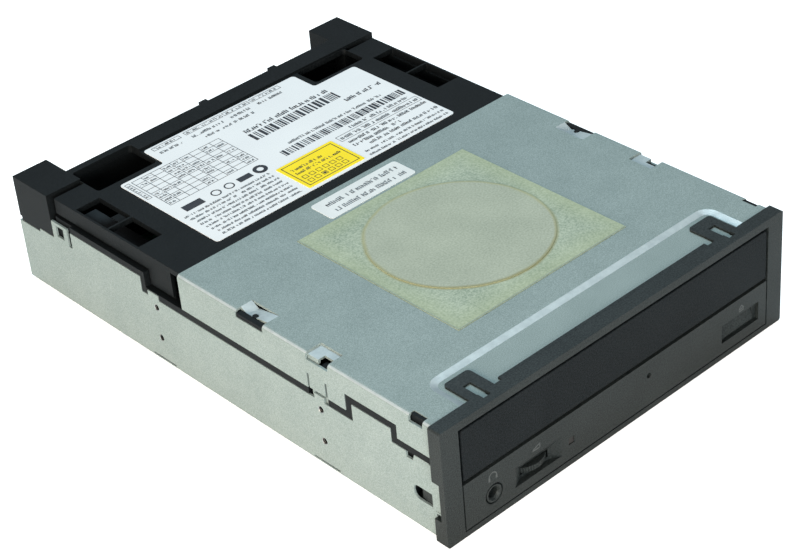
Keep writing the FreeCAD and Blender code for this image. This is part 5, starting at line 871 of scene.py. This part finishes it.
# %% Two grey lines
small_label = Print("small_label_print", top_of("small_label") + INK_LIFT, "grey_ink", 12)
words(small_label, -16.6, 13.8, 110.9, 2.2)
words(small_label, -16.2, 14.4, 106.6, 2.2)
small_label.done("paper")

# %% The film's rim
RIM_LIFT, RIM_WIDTH = 0.01, 0.22

rim = Print("film_edge", top_of("film_patch") + RIM_LIFT, "film_edge", 15)
left, near, right, far = plan_of("film_patch")
rim.bar(left, near, left + RIM_WIDTH, far)
rim.bar(left, near, right, near + RIM_WIDTH)
rim.done("film")

# %% [markdown]
# ## Signs moulded into the front
# Three small signs stand beside the controls: headphones, a volume wedge, and the usual triangle over a bar.
# On the real front they are part of the moulding, a hair proud. Cutting them into the solid would cost many
# faces for something that shows only when light grazes it, so they are flat strokes just in front of the
# bezel, a shade lighter than the plastic: a painted highlight in place of that grazing light.

# %% Strokes on the bezel
SIGN_LIFT, SIGN_LINE, BOW_STEPS = 0.012, 0.42, 9


class FrontSigns(Marks):
    """Strokes in front of the bezel, in millimetres across and up."""

    def line(self, x0, z0, x1, z1, wide=SIGN_LINE):
        run = Vector((x1 - x0, z1 - z0))
        side = Vector((-run.y, run.x)).normalized() * wide / 2
        corners = ((x0 + side.x, z0 + side.y), (x0 - side.x, z0 - side.y),
                   (x1 - side.x, z1 - side.y), (x1 + side.x, z1 + side.y))
        self.patch([spot(x, -SIGN_LIFT, z) for x, z in corners])

    def bow(self, x, z, radius, start, end):
        points = []
        for step in range(BOW_STEPS + 1):
            angle = math.radians(start + (end - start) * step / BOW_STEPS)
            points.append((x + radius * math.cos(angle), z + radius * math.sin(angle)))
        for (x0, z0), (x1, z1) in zip(points, points[1:]):
            self.line(x0, z0, x1, z1)


# %% The three signs
HEADPHONES_X, HEADPHONES_Z, BOW_RADIUS = -55.2, 15.2, 1.5
CUP_OFFSET, CUP_BOTTOM, CUP_WIDTH = 1.45, 14.0, 0.7
volume_wedge = ((-39.6, 14.4, -36.0, 14.4), (-39.6, 14.4, -36.0, 15.9), (-36.0, 14.3, -36.0, 16.0))
eject_sign = ((53.3, 14.7, 55.7, 14.7), (53.3, 14.7, 54.5, 16.0), (55.7, 14.7, 54.5, 16.0),
              (53.3, 14.0, 55.7, 14.0))

# the strokes carry a painted highlight, lighter than the bezel
signs = FrontSigns("front_signs", "painted_sign_highlight")
signs.bow(HEADPHONES_X, HEADPHONES_Z, BOW_RADIUS, 0, 180)
for side in (-1, 1):
    cup_x = HEADPHONES_X + side * CUP_OFFSET
    signs.line(cup_x, HEADPHONES_Z, cup_x, CUP_BOTTOM, CUP_WIDTH)
for stroke in volume_wedge + eject_sign:
    signs.line(*stroke)
signs.done("black_plastic")

# %% [markdown]
# ## Threads in the mounting holes
# Small screws hold the drive in its bay, in holes tapped in its own sheet. A true helix in each hole would be
# the honest shape, but from any distance only the fine grooves show. So each hole gets a thin sleeve whose
# radius goes in and out, ring by ring, in bright steel where the tap has cut the zinc away.

# %% One threaded sleeve
THREAD_RADIUS, GROOVE, THREAD_START, THREAD_DEPTH = 1.22, 0.2, 0.03, 0.74
THREAD_RINGS, THREAD_TURNS = 8, 24


def thread_sleeve(mesh, centre, inward):
    """Rings of points down a hole, wide and narrow in turn, joined into a sleeve."""
    across = Vector((0, 1, 0)) if abs(inward.y) < 0.5 else Vector((1, 0, 0))
    other = inward.cross(across)
    angles = [2 * math.pi * step / THREAD_TURNS for step in range(THREAD_TURNS)]
    sleeve = []
    for place in range(THREAD_RINGS):
        reach = THREAD_RADIUS - (GROOVE if place % 2 else 0.0)
        level = centre + inward * (THREAD_START + THREAD_DEPTH * place / (THREAD_RINGS - 1)) * MM
        sleeve.append([mesh.verts.new(level + (across * math.cos(angle) + other * math.sin(angle)) * reach * MM)
                       for angle in angles])
    for nearer, deeper in zip(sleeve, sleeve[1:]):
        for step in range(THREAD_TURNS):
            after = (step + 1) % THREAD_TURNS
            mesh.faces.new((nearer[step], nearer[after], deeper[after], deeper[step]))


# %% All the mounting holes
MOUNT_ROWS, MOUNT_HEIGHTS = (53.0, 132.25), (10.4, 22.24)
SIDE_WALL, BOTTOM_HOLE = 73.0, 69.85

threads = bmesh.new()
for behind in MOUNT_ROWS:
    for side in (-1, 1):
        for z in MOUNT_HEIGHTS:
            thread_sleeve(threads, spot(side * SIDE_WALL, behind, z), Vector((-side, 0, 0)))
        thread_sleeve(threads, spot(side * BOTTOM_HOLE, behind, 0.0), Vector((0, 0, 1)))
bmesh.ops.recalc_face_normals(threads, faces=threads.faces)
bmesh.ops.reverse_faces(threads, faces=threads.faces)
thread_piece = piece_from(threads, "mount_threads", finishes["bright_steel"])
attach(thread_piece, "drive")
print("faces of the threads:", len(thread_piece.data.polygons))

# %% [markdown]
# ## Camera
# The lens is long and the drive lies turned to the right, seen from its front left corner and from above.
# A camera can be aimed by eye, but then sizes seen in the picture can't be trusted. This one was fitted to
# measured corners of the drive, so its place and its turn are written out in full.

# %% The camera
CAMERA_PLACE = (-0.370298, -0.445986, 0.401947)
CAMERA_TURN = Matrix((
    (0.728746, 0.431427, -0.53179),
    (-0.680531, 0.36985, -0.632526),
    (-0.076206, 0.82285, 0.563126),
))

camera_data = bpy.data.cameras.new("camera")
camera_data.sensor_width = 36.0
camera_data.lens = 95.372
camera_data.clip_end = 20.0
camera = bpy.data.objects.new("camera", camera_data)
camera.matrix_world = Matrix.Translation(CAMERA_PLACE) @ CAMERA_TURN.to_4x4()
bpy.context.scene.collection.objects.link(camera)
bpy.context.scene.camera = camera
print("lens:", round(camera_data.lens, 1), "mm")

# %% [markdown]
# ## Floor
# The drive stands on a plain white floor. Lamps strong enough to make a floor white would bleach the drive too.
# So the floor glows, but only for the camera and, weakly, for reflections, which Light Path can tell apart.
# To all other rays it is plain pale paint, and it still takes the drive's shadow.

# %% The floor's finish
CAMERA_GLOW, REFLECTED_SHARE = 0.62, 0.2
PALE = 0.86


def floor_finish():
    material = bpy.data.materials.new("white_floor")
    material.use_nodes = True
    tree = material.node_tree
    shader = tree.nodes["Principled BSDF"]
    shader.inputs["Base Color"].default_value = rgba(PALE, PALE, PALE)
    shader.inputs["Roughness"].default_value = 0.9
    shader.inputs["Emission Color"].default_value = rgba(1.0, 1.0, 1.0)
    path = add_node(tree, "ShaderNodeLightPath")
    reflected = maths(tree, "MAXIMUM", path.outputs["Is Glossy Ray"], path.outputs["Is Transmission Ray"])
    weak = maths(tree, "MULTIPLY", reflected, REFLECTED_SHARE)
    seen = maths(tree, "MAXIMUM", path.outputs["Is Camera Ray"], weak)
    feed(tree, maths(tree, "MULTIPLY", seen, CAMERA_GLOW), shader.inputs["Emission Strength"])
    return material


# %% The floor
FLOOR_REACH, FLOOR_DROP = 3.0, 0.0004

floor_mesh = bmesh.new()
bmesh.ops.create_grid(floor_mesh, x_segments=1, y_segments=1, size=FLOOR_REACH)
floor = piece_from(floor_mesh, "floor", floor_finish())
floor.location = (0.0, 0.0, -FLOOR_DROP)
print("floor:", 2 * FLOOR_REACH, "m across")

# %% [markdown]
# ## Light
# The light in the picture is soft and comes mostly from the left, with a cooler one above and behind. One
# bright sun would be simpler, but it draws hard shadows, and steel under it turns black and white. Large area
# lamps give the slow change from face to face, and a small weak one lifts the front. The sky fills what is
# left, and is bright only where the camera looks at it.

# %% The lamps
# Each has its place, what it is aimed at, its size, its power in watts and its colour.
lamps = {
    "left_lamp": ((-1.35, -0.4, 0.42), (0, 0, 0.02), (0.9, 0.7), 28.8, (0.985, 0.865, 0.735)),
    "top_lamp": ((0.4, 0.5, 1.5), (0, 0, 0.02), (1.0, 1.0), 18.2, (0.64, 0.89, 1.02)),
    "front_lamp": ((-0.3, -0.75, 0.2), (-0.05, -0.1, 0.02), (0.3, 0.25), 4.6, (0.95, 1.0, 0.98)),
}
for name, (place, target, size, watts, colour) in lamps.items():
    light = bpy.data.lights.new(name, "AREA")
    light.shape = "RECTANGLE"
    light.size, light.size_y = size
    light.energy = watts
    light.color = colour
    holder = bpy.data.objects.new(name, light)
    holder.location = place
    aim = Vector(target) - Vector(place)
    holder.rotation_euler = aim.to_track_quat("-Z", "Y").to_euler()
    bpy.context.scene.collection.objects.link(holder)
    print(name, watts, "W")

# %% The sky
SKY_FILL, SKY_SEEN = 0.3, 0.7

world = bpy.data.worlds.new("studio")
bpy.context.scene.world = world
world.use_nodes = True
sky_tree = world.node_tree
sky = sky_tree.nodes["Background"]
sky.inputs["Color"].default_value = rgba(0.97, 0.99, 1.0)
path = add_node(sky_tree, "ShaderNodeLightPath")
strength = maths(sky_tree, "MULTIPLY_ADD", path.outputs["Is Camera Ray"], SKY_SEEN, SKY_FILL)
feed(sky_tree, strength, sky.inputs["Strength"])
bpy.context.scene.view_settings.view_transform = "Standard"
print("sky fill:", SKY_FILL)

# %% [markdown]
# ## Sizes
# The dressed drive has to be as large as the solids were.
